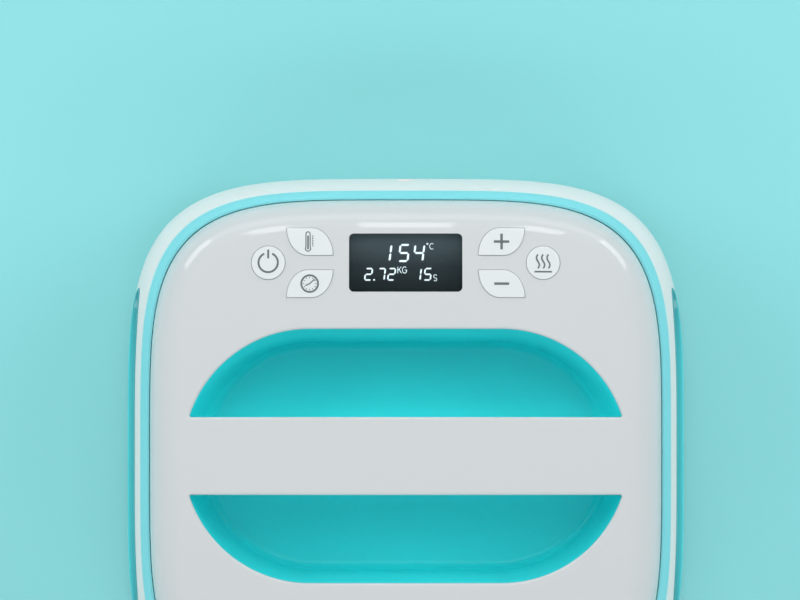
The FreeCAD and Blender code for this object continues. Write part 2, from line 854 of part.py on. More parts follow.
def display_window():
    """Clear pane just below the housing's surface, with a flange behind the opening."""
    under = row_dome(shell_wall + window_thick)
    pane = window_block(-slip_gap, switch_top, far_up).common(row_dome(window_sink)).cut(under)
    flange = window_block(window_flange, switch_top, far_up).common(row_dome(shell_wall + edge_gap)).cut(under)
    return join(pane, flange)


def well_liner():
    """The tub under the handle, tapering in to its floor, with a flange under the housing."""
    low = chassis_top
    top_radius = well_radius + well_set_back
    outer = Part.makeLoft([stadium(top_radius + liner_wall - well_taper, low),
                           stadium(top_radius + liner_wall, crown_top)], True, True)
    inner = Part.makeLoft([stadium(top_radius - well_taper, floor_top),
                           stadium(top_radius, crown_top)], True, True)
    inner = inner.makeFillet(well_floor_round, [e for e in inner.Edges if e.BoundBox.ZMax < floor_top + 1e-4])
    outer = outer.makeFillet(well_floor_round, [e for e in outer.Edges if e.BoundBox.ZMax < low + 1e-4])
    under_shell = dome(shell_wall + edge_gap)
    sky = box(2 * skirt_half, 2 * skirt_half, 0, 0, shell_base, far_up).cut(under_shell)
    passage = box(2 * skirt_half, bar_width + 2 * edge_gap, 0, 0, bar_bottom - edge_gap, far_up)
    tub = outer.cut(inner).cut(sky).cut(passage)
    flange = stadium_block(top_radius + liner_wall + liner_flange, bar_seat - 5, far_up).common(under_shell)
    flange = flange.cut(dome(shell_wall + edge_gap + liner_wall))
    flange = flange.cut(stadium_block(top_radius + liner_wall / 2, bar_seat - 6, far_up + 1)).cut(passage)
    return join(tub, flange)


def handle_base():
    """Lower half of the bar: a channel that the shell's bar closes, with a tab at each end."""
    bar = box(2 * bar_half, bar_width, 0, 0, bar_bottom, bar_seat)
    low = [e for e in bar.Edges if e.BoundBox.ZMax < bar_bottom + 1e-4 and e.BoundBox.XLength > bar_half]
    bar = bar.makeFillet(bar_under_round, low)
    tab_half = bar_half + bar_tab_length
    tabs = box(2 * tab_half, bar_width - 2 * bar_under_round + 4, 0, 0, bar_bottom, bar_bottom + bar_tab_thick)
    channel = box(2 * bar_half - 6.0, stiffener_width + 2 * slip_gap, 0, 0, bar_seat - stiffener_thick, bar_seat + 1)
    holes = [cylinder(screw_radius + screw_gap, x, y, bar_bottom - 1, bar_seat + 1) for x, y in pillar_places]
    clear = [cylinder(screw_head_radius + edge_gap, x, y, bar_bottom + bar_tab_thick, bar_seat + 1)
             for x, y in pillar_places]
    return join(bar, tabs).cut([channel] + holes + clear)


def handle_stiffener():
    length = 2 * bar_half - 6.0 - 2 * slip_gap
    bar = box(length, stiffener_width, 0, 0, bar_seat - stiffener_thick, bar_seat)
    slots = [cylinder(3.0, side * (bar_half - 12.0), 0, bar_seat - stiffener_thick - 1, bar_seat + 1)
             for side in (-1, 1)]
    return bar.cut(slots)


def handle_pillars():
    pillars = []
    hole = screw_radius + screw_gap
    for x, y in pillar_places:
        post = cylinder(pillar_radius, x, y, chassis_top, bar_bottom)
        pillars.append(post.cut([cylinder(hole, x, y, bar_bottom - 9, bar_bottom + 1),
                                 cylinder(hole, x, y, chassis_top - 1, chassis_top + 11)]))
    return group(pillars)


# Boards and display

def control_board():
    low = control_board_top - board_thick
    board = rounded_box(control_board_width, control_board_depth, board_corner, 0, row_y, low, control_board_top)
    return board.cut([cylinder(screw_radius + screw_gap, x, y, low - 1, control_board_top + 1)
                      for x, y in board_places])


def lcd_level():
    """Top of the display panel, just under the lowest edge of the window."""
    reach = row_y + window_height / 2 + window_flange
    return crown_at(reach) - shell_wall - window_thick - lcd_window_gap


def lcd_panel():
    return box(lcd_width, lcd_height, 0, row_y, lcd_level() - lcd_thick, lcd_level())


def lcd_frame():
    wall = lcd_frame_wall
    high = lcd_level() - lcd_thick
    block = box(lcd_width, lcd_height, 0, row_y, control_board_top, high)
    hollow = box(lcd_width - 2 * wall, lcd_height - 2 * wall, 0, row_y, control_board_top - 1, high + 1)
    return block.cut(hollow)


def buzzer():
    low = control_board_top - board_thick - buzzer_height
    can = cylinder(buzzer_radius, buzzer_x, row_y, low, low + buzzer_height)
    return can.cut(cylinder(1.2, buzzer_x, row_y, low - 1, low + 1.5))


def power_board():
    low = chassis_top + power_board_lift
    y = power_board_y()
    board = rounded_box(power_board_width, power_board_depth, board_corner, 0, y, low, power_board_top)
    return board.cut([cylinder(screw_radius + screw_gap, x, py, low - 1, power_board_top + 1)
                      for x, py in power_board_places()])


def on_power_board(width, depth, height, x, y):
    """A boxed component standing on the power board, placed from the board's middle."""
    return box(width, depth, x, power_board_y() + y, power_board_top, power_board_top + height)


def relay():
    return on_power_board(19.0, 15.4, 15.5, -32.0, 3.0)


def transformer():
    core = on_power_board(24.0, 18.0, 14.0, 2.0, -2.0)
    coil = on_power_board(16.0, 22.0, 10.0, 2.0, -2.0)
    return join(core, coil)


def mains_capacitor():
    return on_power_board(18.0, 6.0, 13.0, 0.0, 13.0)


def heat_sink():
    base = on_power_board(24.0, 3.0, 18.0, 34.0, -4.0)
    fins = [on_power_board(1.2, 9.0, 18.0, 34.0 - 11.4 + 3.8 * i, 2.0) for i in range(7)]
    return join(base, *fins)


def terminal_block():
    body = on_power_board(20.0, 9.0, 11.0, 34.0, 13.0)
    ways = [on_power_board(4.0, 3.0, 4.0, 34.0 + 6.5 * i, 16.5) for i in (-1, 0, 1)]
    return body.cut(ways)


def ribbon_cable():
    y = power_board_y() - power_board_depth / 2 + connector_depth / 2 + 4.0
    x = -power_board_width / 2 + ribbon_width / 2 + 12.0
    low, high = power_board_top, control_board_top - board_thick
    cable = box(ribbon_width, ribbon_thick, x, y, low + connector_height, high - connector_height)
    plugs = [box(ribbon_width + connector_overhang, connector_depth, x, y, low, low + connector_height),
             box(ribbon_width + connector_overhang, connector_depth, x, y, high - connector_height, high)]
    return join(cable, *plugs)


# Gland and fasteners

def cord_gland():
    """Bush with flats that the cord would pass through, its flange sunk in the rear wall."""
    seat = gland_seat_y()
    y_low, y_high = seat - gland_seat_wall - gland_inside, seat + gland_flange_thick
    body = gland_outline(0.0, y_low, y_high)
    flange = gland_flange_block(0.0, seat, y_high)
    flange = flange.makeFillet(gland_flange_thick / 2, [e for e in flange.Edges if e.BoundBox.YMin > y_high - 1e-4])
    bore = Part.makeCylinder(gland_bore, y_high - y_low + 2, V(0, y_low - 1, gland_z), Y_AXIS)
    return join(body, flange).cut(bore)


def frame_screws():
    return group([screw(x, y, frame_z, frame_boss_height) for x, y in frame_screw_places()])


def ledge_screws():
    return group([screw(x, y, ledge_z, ledge_thick + chassis_thick - 0.5) for x, y in ledge_places])


def chassis_screws():
    long_reach = shell_base - chassis_z + 10.0
    screws = [screw(x, y, chassis_z, long_reach) for x, y in corner_places]
    screws += [screw(x, y, chassis_z, chassis_thick + 9.0) for x, y in pillar_places]
    return group(screws)


def handle_screws():
    seat = bar_bottom + bar_tab_thick
    return group([screw(x, y, seat, bar_tab_thick + 8.0, up=False) for x, y in pillar_places])


def board_screws():
    low = control_board_top - board_thick
    screws = [screw(x, y, low, board_thick + 6.0) for x, y in board_places]
    screws += [screw(x, y, power_board_top, board_thick + 3.5, up=False) for x, y in power_board_places()]
    return group(screws)


def build():
    liner = grip_liner()
    nodes = {
        "heat_plate": heat_plate(),
        "heating_element": heating_element(),
        "thermostat_cutout": thermostat_cutout(),
        "thermal_fuse": thermal_fuse(),
        "temperature_probe": temperature_probe(),
        "plate_frame": plate_frame(),
        "insulation_pad": insulation_pad(),
        "heat_shield": heat_shield(),
        "plate_posts": plate_posts(),
        "load_cells": load_cells(),
        "load_cell_holders": load_cell_holders(),
        "chassis_plate": chassis_plate(),
        "lower_housing": lower_housing(),
        "grip_liner_right": liner,
        "grip_liner_left": mirror_x(liner),
        "trim_ring": trim_ring(),
        "top_shell": top_shell(),
        "well_liner": well_liner(),
        "handle_base": handle_base(),
        "handle_stiffener": handle_stiffener(),
        "handle_pillars": handle_pillars(),
        "display_window": display_window(),
        "lcd_panel": lcd_panel(),
        "lcd_frame": lcd_frame(),
        "control_board": control_board(),
        "tact_switches": tact_switches(),
        "buzzer": buzzer(),
        "ribbon_cable": ribbon_cable(),
        "power_board": power_board(),
        "relay": relay(),
        "transformer": transformer(),
        "mains_capacitor": mains_capacitor(),
        "heat_sink": heat_sink(),
        "terminal_block": terminal_block(),
        "cord_gland": cord_gland(),
        "frame_screws": frame_screws(),
        "ledge_screws": ledge_screws(),
        "chassis_screws": chassis_screws(),
        "handle_screws": handle_screws(),
        "board_screws": board_screws(),
    }
    for spec in key_specs:
        nodes[spec[0]] = key_cap(spec)
        nodes[spec[0] + "_plunger"] = plunger(spec)
    return nodes


os.makedirs("parts", exist_ok=True)
for name, shape in build().items():
    shape.exportStep("parts/" + name + ".step")
    print(name, len(shape.Solids), round(shape.Volume, 1), shape.isValid())
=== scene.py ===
import json
import math

import bmesh
import bpy
import numpy as np
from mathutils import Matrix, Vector
from mathutils.bvhtree import BVHTree
from mathutils.geometry import delaunay_2d_cdt


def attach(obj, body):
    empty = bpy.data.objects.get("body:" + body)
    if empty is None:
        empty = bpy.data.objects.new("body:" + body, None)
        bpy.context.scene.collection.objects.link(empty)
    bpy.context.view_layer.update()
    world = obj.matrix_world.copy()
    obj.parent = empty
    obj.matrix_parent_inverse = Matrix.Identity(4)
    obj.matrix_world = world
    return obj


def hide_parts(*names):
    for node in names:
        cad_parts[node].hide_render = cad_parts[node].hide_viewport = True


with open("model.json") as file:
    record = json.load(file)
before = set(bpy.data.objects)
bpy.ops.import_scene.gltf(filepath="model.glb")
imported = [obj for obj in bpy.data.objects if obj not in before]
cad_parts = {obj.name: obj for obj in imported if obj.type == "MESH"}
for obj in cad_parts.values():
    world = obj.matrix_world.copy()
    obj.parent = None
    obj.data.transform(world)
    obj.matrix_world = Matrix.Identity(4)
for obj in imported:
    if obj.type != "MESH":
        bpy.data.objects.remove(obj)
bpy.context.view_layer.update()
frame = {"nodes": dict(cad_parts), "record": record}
mm = 0.001
press = "press"


# node trees

class Signal:
    # a socket that takes part in sums
    def __init__(self, net, socket):
        self.net = net
        self.socket = socket

    def calc(self, operation, *values):
        return self.net.add("ShaderNodeMath", {"operation": operation}, dict(enumerate(values)))

    def __add__(self, other):
        return self.calc("ADD", self, other)

    def __radd__(self, other):
        return self.calc("ADD", other, self)

    def __sub__(self, other):
        return self.calc("SUBTRACT", self, other)

    def __rsub__(self, other):
        return self.calc("SUBTRACT", other, self)

    def __mul__(self, other):
        return self.calc("MULTIPLY", self, other)

    def __rmul__(self, other):
        return self.calc("MULTIPLY", other, self)

    def __truediv__(self, other):
        return self.calc("DIVIDE", self, other)

    def __rtruediv__(self, other):
        return self.calc("DIVIDE", other, self)

    def __pow__(self, other):
        return self.calc("POWER", self, other)


class Net:
    # one node tree, filled by a single method and a few short forms of it
    def __init__(self, tree):
        self.tree = tree

    def add(self, kind, settings=None, inputs=None, output=0):
        node = self.tree.nodes.new(kind)
        for key, value in (settings or {}).items():
            if key == "stops":
                self.setStops(node.color_ramp, value)
            else:
                setattr(node, key, value)
        for key, value in (inputs or {}).items():
            if isinstance(value, Signal):
                self.tree.links.new(value.socket, node.inputs[key])
            else:
                node.inputs[key].default_value = value
        if output is None:
            return node
        return Signal(self, node.outputs[output])

    def setStops(self, ramp, stops):
        while len(ramp.elements) > 1:
            ramp.elements.remove(ramp.elements[-1])
        ramp.elements[0].position, ramp.elements[0].color = stops[0]
        for position, color in stops[1:]:
            ramp.elements.new(position).color = color

    def between(self, value, low, high):
        # 0 at low, 1 at high
        return self.add("ShaderNodeMapRange", {}, {"Value": value, "From Min": low, "From Max": high})

    def blend(self, share, first, second):
        return self.add("ShaderNodeMix", {"data_type": "RGBA"}, {0: share, 6: first, 7: second}, 2)

    def ownPlace(self):
        return self.add("ShaderNodeTexCoord", {}, {}, "Object")

    def noise(self, place, scale, detail):
        return self.add("ShaderNodeTexNoise", {}, {"Vector": place, "Scale": scale, "Detail": detail}, 0)

    def part(self, vector, axis):
        # one of a vector's three numbers
        return self.add("ShaderNodeSeparateXYZ", {}, {0: vector}, axis)

    def relief(self, height, strength, distance=0.0002):
        return self.add("ShaderNodeBump", {}, {"Height": height, "Strength": strength, "Distance": distance})


def newFinish(name, constants):
    # a material with one Principled shader; constants go straight on its sockets
    made = bpy.data.materials.new(name)
    made.use_nodes = True
    net = Net(made.node_tree)
    shader = made.node_tree.nodes["Principled BSDF"]
    for key, value in constants.items():
        shader.inputs[key].default_value = value
    return made, net, shader


def plug(net, signal, shader, socket):
    net.tree.links.new(signal.socket, shader.inputs[socket])


plasticIor = 1.47


def mouldedPlastic(name, look):
    # moulded plastic: faint clouds in the colour, handling marks in the gloss, a fine surface texture
    made, net, shader = newFinish(name, {
        "IOR": plasticIor, "Coat Roughness": 0.03, "Coat Weight": look.get("coat", 0.0)})
    place = net.ownPlace()
    clouds = net.noise(place, 14.0, 1.0)  # few octaves keep the clouds and marks soft
    marks = net.noise(place, look["markScale"], 1.5)
    grain = net.noise(place, look["grainScale"], 2.0)
    tone = net.blend(net.between(clouds, 0.1, 0.9), (*look["shade"], 1), (*look["tint"], 1))
    plug(net, tone, shader, "Base Color")
    rough = look["rough"] + net.between(marks, 0.2, 0.8) * look["roughSpread"]
    plug(net, rough, shader, "Roughness")
    bump = net.relief(grain, look["bump"])
    plug(net, bump, shader, "Normal")
    return made


def sheetMetal(name, look):
    # metal with a drawn grain along X and duller patches
    made, net, shader = newFinish(name, {})
    place = net.ownPlace()
    along = net.add("ShaderNodeMapping", {}, {"Vector": place, "Scale": look["stretch"]})
    grain = net.noise(along, look["grainScale"], 4.0)
    patches = net.noise(place, 22.0, 4.0)
    tone = net.blend(net.between(grain, 0.3, 0.7), (*look["shade"], 1), (*look["tint"], 1))
    plug(net, tone, shader, "Base Color")
    rough = look["rough"] + grain * 0.08 + net.between(patches, 0.4, 0.7) * look["roughSpread"]
    plug(net, rough, shader, "Roughness")
    plug(net, look["metal"] - net.between(patches, 0.5, 0.9) * 0.05, shader, "Metallic")
    bump = net.relief(grain, look["bump"], 0.0001)
    plug(net, bump, shader, "Normal")
    return made


finishes = {
    "glossWhite": mouldedPlastic("glossWhite", {
        "tint": (0.625, 0.632, 0.640), "shade": (0.615, 0.623, 0.632), "rough": 0.04, "roughSpread": 0.02,
        "markScale": 30.0, "grainScale": 900.0, "bump": 0.012, "coat": 0.4}),
    "keyWhite": mouldedPlastic("keyWhite", {
        "tint": (0.73, 0.752, 0.757), "shade": (0.72, 0.742, 0.747), "rough": 0.20, "roughSpread": 0.03,
        "markScale": 60.0, "grainScale": 1500.0, "bump": 0.02, "coat": 0.1}),
    "skirtWhite": mouldedPlastic("skirtWhite", {
        "tint": (0.875, 0.805, 0.79), "shade": (0.867, 0.797, 0.782), "rough": 0.27, "roughSpread": 0.015,
        "markScale": 24.0, "grainScale": 1100.0, "bump": 0.04, "coat": 0.15}),
    "wellBlue": mouldedPlastic("wellBlue", {
        "tint": (0.045, 0.90, 0.93), "shade": (0.04, 0.885, 0.915), "rough": 0.22, "roughSpread": 0.02,
        "markScale": 26.0, "grainScale": 900.0, "bump": 0.02, "coat": 0.5}),
    "darkResin": mouldedPlastic("darkResin", {
        "tint": (0.020, 0.020, 0.022), "shade": (0.013, 0.013, 0.014), "rough": 0.5, "roughSpread": 0.15,
        "markScale": 35.0, "grainScale": 1600.0, "bump": 0.25}),
    "lightResin": mouldedPlastic("lightResin", {
        "tint": (0.58, 0.58, 0.55), "shade": (0.52, 0.52, 0.50), "rough": 0.45, "roughSpread": 0.1,
        "markScale": 30.0, "grainScale": 900.0, "bump": 0.12}),
    "greenBoard": mouldedPlastic("greenBoard", {
        "tint": (0.008, 0.075, 0.035), "shade": (0.005, 0.055, 0.028), "rough": 0.35, "roughSpread": 0.1,
        "markScale": 90.0, "grainScale": 2200.0, "bump": 0.1}),
    "stemRed": mouldedPlastic("stemRed", {
        "tint": (0.25, 0.02, 0.015), "shade": (0.2, 0.015, 0.012), "rough": 0.4, "roughSpread": 0.1,
        "markScale": 200.0, "grainScale": 2200.0, "bump": 0.1}),
    "felt": mouldedPlastic("felt", {
        "tint": (0.68, 0.64, 0.55), "shade": (0.55, 0.52, 0.45), "rough": 0.9, "roughSpread": 0.08,
        "markScale": 120.0, "grainScale": 1400.0, "bump": 0.9}),
    "printGrey": mouldedPlastic("printGrey", {
        "tint": (0.13, 0.145, 0.15), "shade": (0.12, 0.135, 0.14), "rough": 0.4, "roughSpread": 0.05,
        "markScale": 200.0, "grainScale": 2500.0, "bump": 0.05}),
    "castAlloy": sheetMetal("castAlloy", {
        "tint": (0.45, 0.45, 0.46), "shade": (0.36, 0.36, 0.37), "rough": 0.42, "roughSpread": 0.14, "metal": 0.95,
        "stretch": (1.0, 1.0, 1.0), "grainScale": 600.0, "bump": 0.3}),
    "zincSheet": sheetMetal("zincSheet", {
        "tint": (0.62, 0.63, 0.64), "shade": (0.50, 0.51, 0.53), "rough": 0.28, "roughSpread": 0.12, "metal": 0.98,
        "stretch": (0.08, 1.0, 1.0), "grainScale": 900.0, "bump": 0.2}),
    "heatedTube": sheetMetal("heatedTube", {
        "tint": (0.30, 0.25, 0.20), "shade": (0.19, 0.17, 0.17), "rough": 0.45, "roughSpread": 0.2, "metal": 0.9,
        "stretch": (0.2, 1.0, 1.0), "grainScale": 500.0, "bump": 0.3}),
    "copperCoil": sheetMetal("copperCoil", {
        "tint": (0.50, 0.20, 0.08), "shade": (0.38, 0.14, 0.06), "rough": 0.35, "roughSpread": 0.1, "metal": 0.95,
        "stretch": (0.1, 1.0, 1.0), "grainScale": 1200.0, "bump": 0.5}),
}


def plateCoating(look):
    # grey non-stick coating: speckled, a little duller in patches
    made, net, shader = newFinish("plateCoating", {"IOR": 1.5})
    place = net.ownPlace()
    speck = net.noise(place, 1800.0, 2.0)
    patch = net.noise(place, 18.0, 5.0)
    tone = net.blend(net.between(speck, 0.55, 0.72), (*look["dark"], 1), (*look["speck"], 1))
    plug(net, tone, shader, "Base Color")
    plug(net, look["rough"] + net.between(patch, 0.35, 0.7) * look["roughSpread"], shader, "Roughness")
    plug(net, net.relief(speck, 0.3, 0.0001), shader, "Normal")
    return made


def displayGlass(look):
    # the panel behind the cover: nearly black, with a painted sheen that lightens it towards the rear edge
    made, net, shader = newFinish("displayGlass", {"Specular IOR Level": 0.1, "Roughness": look["rough"]})
    place = net.ownPlace()
    y = net.part(place, 1)
    across = net.between(y, look["frontY"] * mm, look["rearY"] * mm)
    dust = net.noise(place, 400.0, 3.0)
    # the ramp's lighter rear stops are a painted sheen, not the panel's own colour
    tone = net.add("ShaderNodeValToRGB", {"stops": look["stops"]}, {0: across + (dust - 0.5) * 0.04})
    plug(net, tone, shader, "Base Color")
    return made


def litSegments(look):
    # the lit figures, a little uneven in brightness
    made, net, shader = newFinish("litSegments", {"Emission Strength": 1.0, "Roughness": 0.5})
    place = net.ownPlace()
    flicker = net.noise(place, 700.0, 2.0)
    glow = net.blend(net.between(flicker, 0.3, 0.7), (*look["dim"], 1), (*look["bright"], 1))
    plug(net, glow, shader, "Emission Color")
    plug(net, glow, shader, "Base Color")
    return made


def clearCover(look):
    # the display's clear pane, with a faint smear
    made, net, shader = newFinish("clearCover", {"Specular IOR Level": 0.25, "Roughness": 0.03})
    place = net.ownPlace()
    smear = net.noise(place, 60.0, 4.0)
    plug(net, net.blend(smear, (*look["shade"], 1), (*look["tint"], 1)), shader, "Base Color")
    plug(net, look["cover"] + net.between(smear, 0.4, 0.8) * 0.02, shader, "Alpha")
    return made


def ringPlastic(look):
    # pale blue moulding, lighter along its foot where it meets the white skirt
    made, net, shader = newFinish("ringBlue", {"IOR": plasticIor})
    place = net.ownPlace()
    height = net.part(place, 2)
    clouds = net.noise(place, 14.0, 3.0)
    grain = net.noise(place, 1300.0, 2.0)
    rise = net.between(height, look["footZ"] * mm, look["fullZ"] * mm)
    body = net.blend(net.between(clouds, 0.3, 0.7), (*look["shade"], 1), (*look["tint"], 1))
    plug(net, net.blend(rise, (*look["footTint"], 1), body), shader, "Base Color")
    plug(net, look["rough"] + net.between(clouds, 0.35, 0.75) * 0.06, shader, "Roughness")
    bump = net.relief(grain, 0.04)
    plug(net, bump, shader, "Normal")
    return made


def gripPlastic(look):
    # painted shade: the pocket's colour darkens away from the lip into the hollow, with painted light along the
    # lip, on both sides of the press
    made, net, shader = newFinish("gripBlue", {"IOR": plasticIor, "Coat Weight": 0.4, "Coat Roughness": 0.04})
    place = net.ownPlace()
    across = net.part(place, 0)
    out = net.add("ShaderNodeMath", {"operation": "ABSOLUTE"}, {0: across})
    clouds = net.noise(place, 45.0, 3.0)
    grain = net.noise(place, 1200.0, 2.0)
    rise = net.between(out, look["shadedX"] * mm, look["litX"] * mm)
    # the deep colour is painted shade in the hollow, the light one painted light along the lip
    body = net.blend(rise, (*look["deep"], 1), (*look["light"], 1))
    plug(net, net.blend(net.between(clouds, 0.3, 0.7) * 0.08, body, (*look["deep"], 1)), shader, "Base Color")
    plug(net, look["rough"] + net.between(clouds, 0.35, 0.75) * 0.06, shader, "Roughness")
    bump = net.relief(grain, 0.03)
    plug(net, bump, shader, "Normal")
    return made


# deep and light paint the pocket's shade inside and the light on its lip
finishes["gripBlue"] = gripPlastic({
    "deep": (0.035, 0.30, 0.33), "light": (0.10, 0.70, 0.75), "shadedX": 128.5, "litX": 135.3, "rough": 0.14})
finishes["ringBlue"] = ringPlastic({
    "tint": (0.24, 0.70, 0.755), "shade": (0.225, 0.685, 0.74), "footTint": (0.60, 0.84, 0.85), "rough": 0.30,
    "footZ": 62.0, "fullZ": 65.5})
finishes["plateCoating"] = plateCoating({
    "dark": (0.045, 0.047, 0.05), "speck": (0.16, 0.165, 0.17), "rough": 0.42, "roughSpread": 0.14})
# the stops from front to rear paint a sheen that lightens the panel towards its rear edge
finishes["displayGlass"] = displayGlass({
    "rough": 0.25, "frontY": 73.0, "rearY": 102.0,
    "stops": [
        (0.0, (0.005, 0.0075, 0.0085, 1)), (0.45, (0.030, 0.041, 0.047, 1)), (1.0, (0.125, 0.172, 0.192, 1))]})
finishes["litSegments"] = litSegments({"dim": (0.66, 0.80, 0.86), "bright": (0.76, 0.88, 0.92)})
finishes["clearCover"] = clearCover({
    "shade": (0.03, 0.035, 0.04), "tint": (0.05, 0.06, 0.065), "cover": 0.12})


# mesh making

class Draft:
    # points in millimetres and faces, turned into one finished piece at the end
    def __init__(self):
        self.points = []
        self.faces = []

    def row(self, points):
        start = len(self.points)
        self.points += [tuple(p) for p in points]
        return list(range(start, len(self.points)))

    def bridge(self, first, second, skip=()):
        count = len(first)
        for i in range(count):
            if i not in skip:
                j = (i + 1) % count
                self.faces.append((first[i], first[j], second[j], second[i]))

    def join(self, rows):
        for first, second in zip(rows, rows[1:]):
            self.bridge(first, second)

    def strip(self, loops):
        # an open skin over all the loops
        rows = [self.row(loop) for loop in loops]
        self.join(rows)
        return rows

    def close(self, row):
        self.faces.append(tuple(row))

    def tube(self, loops):
        # a closed solid through all the loops
        rows = self.strip(loops)
        self.close(rows[0])
        self.close(rows[-1])

    def slab(self, loop, low, high):
        # a flat closed plate with the loop's outline
        bottom = self.row([(x, y, low) for x, y in loop])
        top = self.row([(x, y, high) for x, y in loop])
        self.bridge(bottom, top)
        self.close(bottom)
        self.close(top)

    def mesh(self, name):
        made = bpy.data.meshes.new(name)
        made.from_pydata([tuple(c * mm for c in p) for p in self.points], [], self.faces)
        return made


def inLoop(points, loop):
    # which points lie inside a closed outline
    x, y = points[:, 0], points[:, 1]
    inside = np.zeros(len(points), bool)
    for (x1, y1), (x2, y2) in zip(loop, np.roll(loop, -1, axis=0)):
        if y1 != y2:
            crosses = ((y1 > y) != (y2 > y)) & (x < (x2 - x1) * (y - y1) / (y2 - y1) + x1)
            inside ^= crosses
    return inside


def fillBetween(draft, rows, step, lift):
    # covers the area between an outer row and the holes in it with a fine net of triangles
    loops = [np.array([draft.points[i][:2] for i in row]) for row in rows]
    ids = [i for row in rows for i in row]
    edges, start = [], 0
    for row in rows:
        edges += [(start + i, start + (i + 1) % len(row)) for i in range(len(row))]
        start += len(row)
    low, high = loops[0].min(0), loops[0].max(0)
    gx, gy = np.meshgrid(np.arange(low[0], high[0], step), np.arange(low[1], high[1], step))
    gx[1::2] += step / 2
    spots = np.column_stack([gx.ravel(), gy.ravel()])
    keep = inLoop(spots, loops[0])
    for loop in loops[1:]:
        keep &= ~inLoop(spots, loop)
    spots = spots[keep]
    rim = np.vstack(loops)
    if len(spots):
        nearest = np.array([np.hypot(*(rim - s).T).min() for s in spots])
        spots = spots[nearest > step * 0.55]
    ids += draft.row([(x, y, lift(x, y)) for x, y in spots])
    flat = [Vector(draft.points[i][:2]) for i in ids]
    found = delaunay_2d_cdt(flat, edges, [], 0, 1e-6, True)
    source = [ids[group[0]] for group in found[3]]
    triangles = [[source[i] for i in face] for face in found[2]]
    middle = np.array([np.mean([draft.points[i][:2] for i in t], axis=0) for t in triangles])
    keep = inLoop(middle, loops[0])
    for loop in loops[1:]:
        keep &= ~inLoop(middle, loop)
    draft.faces += [tuple(t) for t, good in zip(triangles, keep) if good]


smoothAngle = 35.0


def tidyMesh(mesh, sharpAngle=smoothAngle):
    work = bmesh.new()
    work.from_mesh(mesh)
    bmesh.ops.remove_doubles(work, verts=work.verts, dist=0.2e-6)
    bmesh.ops.recalc_face_normals(work, faces=work.faces)
    work.to_mesh(mesh)
    work.free()
    mesh.shade_smooth()
    mesh.set_sharp_from_angle(angle=math.radians(sharpAngle))


def finishPiece(name, mesh, finish, body=press, stands=(), sharpAngle=smoothAngle):
    tidyMesh(mesh, sharpAngle)
    mesh.materials.clear()
    mesh.materials.append(finishes[finish])
    piece = bpy.data.objects.new(name, mesh)
    bpy.context.scene.collection.objects.link(piece)
    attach(piece, body)
    if stands:
        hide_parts(*stands)
    return piece


def cutAway(mesh, cutters):
    # takes closed cutters out of a closed mesh
    base = bpy.data.objects.new("cutBase", mesh)
    bpy.context.scene.collection.objects.link(base)
    work = bmesh.new()
    work.from_mesh(mesh)
    bmesh.ops.triangulate(work, faces=work.faces)
    work.to_mesh(mesh)
    work.free()
    tidyMesh(mesh)
    tools = bpy.data.objects.new("cutTools", cutters)
    bpy.context.scene.collection.objects.link(tools)
    tidyMesh(cutters)
    step = base.modifiers.new("cut", "BOOLEAN")
    step.operation = "DIFFERENCE"
    step.solver = "EXACT"
    step.object = tools
    seen = bpy.context.evaluated_depsgraph_get()
    result = bpy.data.meshes.new_from_object(base.evaluated_get(seen))
    bpy.data.objects.remove(base)
    bpy.data.objects.remove(tools)
    return result


# outlines

bodyPlan = {"power": 4.2, "steps": 320}


def roundSquare(half, steps=None):
    # the body's outline: a square whose edges bow and whose corners are wide
    power, steps = bodyPlan["power"], steps or bodyPlan["steps"]
    loop = []
    for i in range(steps):
        a = 2 * math.pi * i / steps
        reach = half / (abs(math.cos(a)) ** power + abs(math.sin(a)) ** power) ** (1 / power)
        loop.append((reach * math.cos(a), reach * math.sin(a)))
    return loop


def outwardAt(x, y):
    # horizontal direction straight out of the outline through x, y
    power = bodyPlan["power"]
    nx = math.copysign(abs(x) ** (power - 1), x)
    ny = math.copysign(abs(y) ** (power - 1), y)
    size = math.hypot(nx, ny)
    return nx / size, ny / size


def arcLoop(arcs, grow=0.0, lineStep=4.0):
    # closed outline of arcs (x, y, radius, from, to, steps) joined by straights
    ends = []
    for x, y, radius, start, stop, steps in arcs:
        arc = []
        for i in range(steps + 1):
            a = math.radians(start + (stop - start) * i / steps)
            arc.append((x + (radius + grow) * math.cos(a), y + (radius + grow) * math.sin(a)))
        ends.append(arc)
    loop = []
    for i, arc in enumerate(ends):
        loop += arc
        (x1, y1), (x2, y2) = arc[-1], ends[(i + 1) % len(ends)][0]
        parts = int(math.hypot(x2 - x1, y2 - y1) / lineStep) + 1
        loop += [(x1 + (x2 - x1) * k / parts, y1 + (y2 - y1) * k / parts) for k in range(1, parts)]
    return cleanLoop(loop)


def cleanLoop(loop):
    # drops points that fall on the one before
    kept = []
    for p in loop:
        if not kept or math.hypot(p[0] - kept[-1][0], p[1] - kept[-1][1]) > 1e-6:
            kept.append(p)
    if math.hypot(kept[0][0] - kept[-1][0], kept[0][1] - kept[-1][1]) < 1e-6:
        kept.pop()
    return kept


def roundedBox(width, depth, corner, x=0.0, y=0.0, steps=12):
    w, d = width / 2 - corner, depth / 2 - corner
    return arcLoop([(x + w, y + d, corner, 0, 90, steps), (x - w, y + d, corner, 90, 180, steps),
                    (x - w, y - d, corner, 180, 270, steps), (x + w, y - d, corner, 270, 360, steps)])


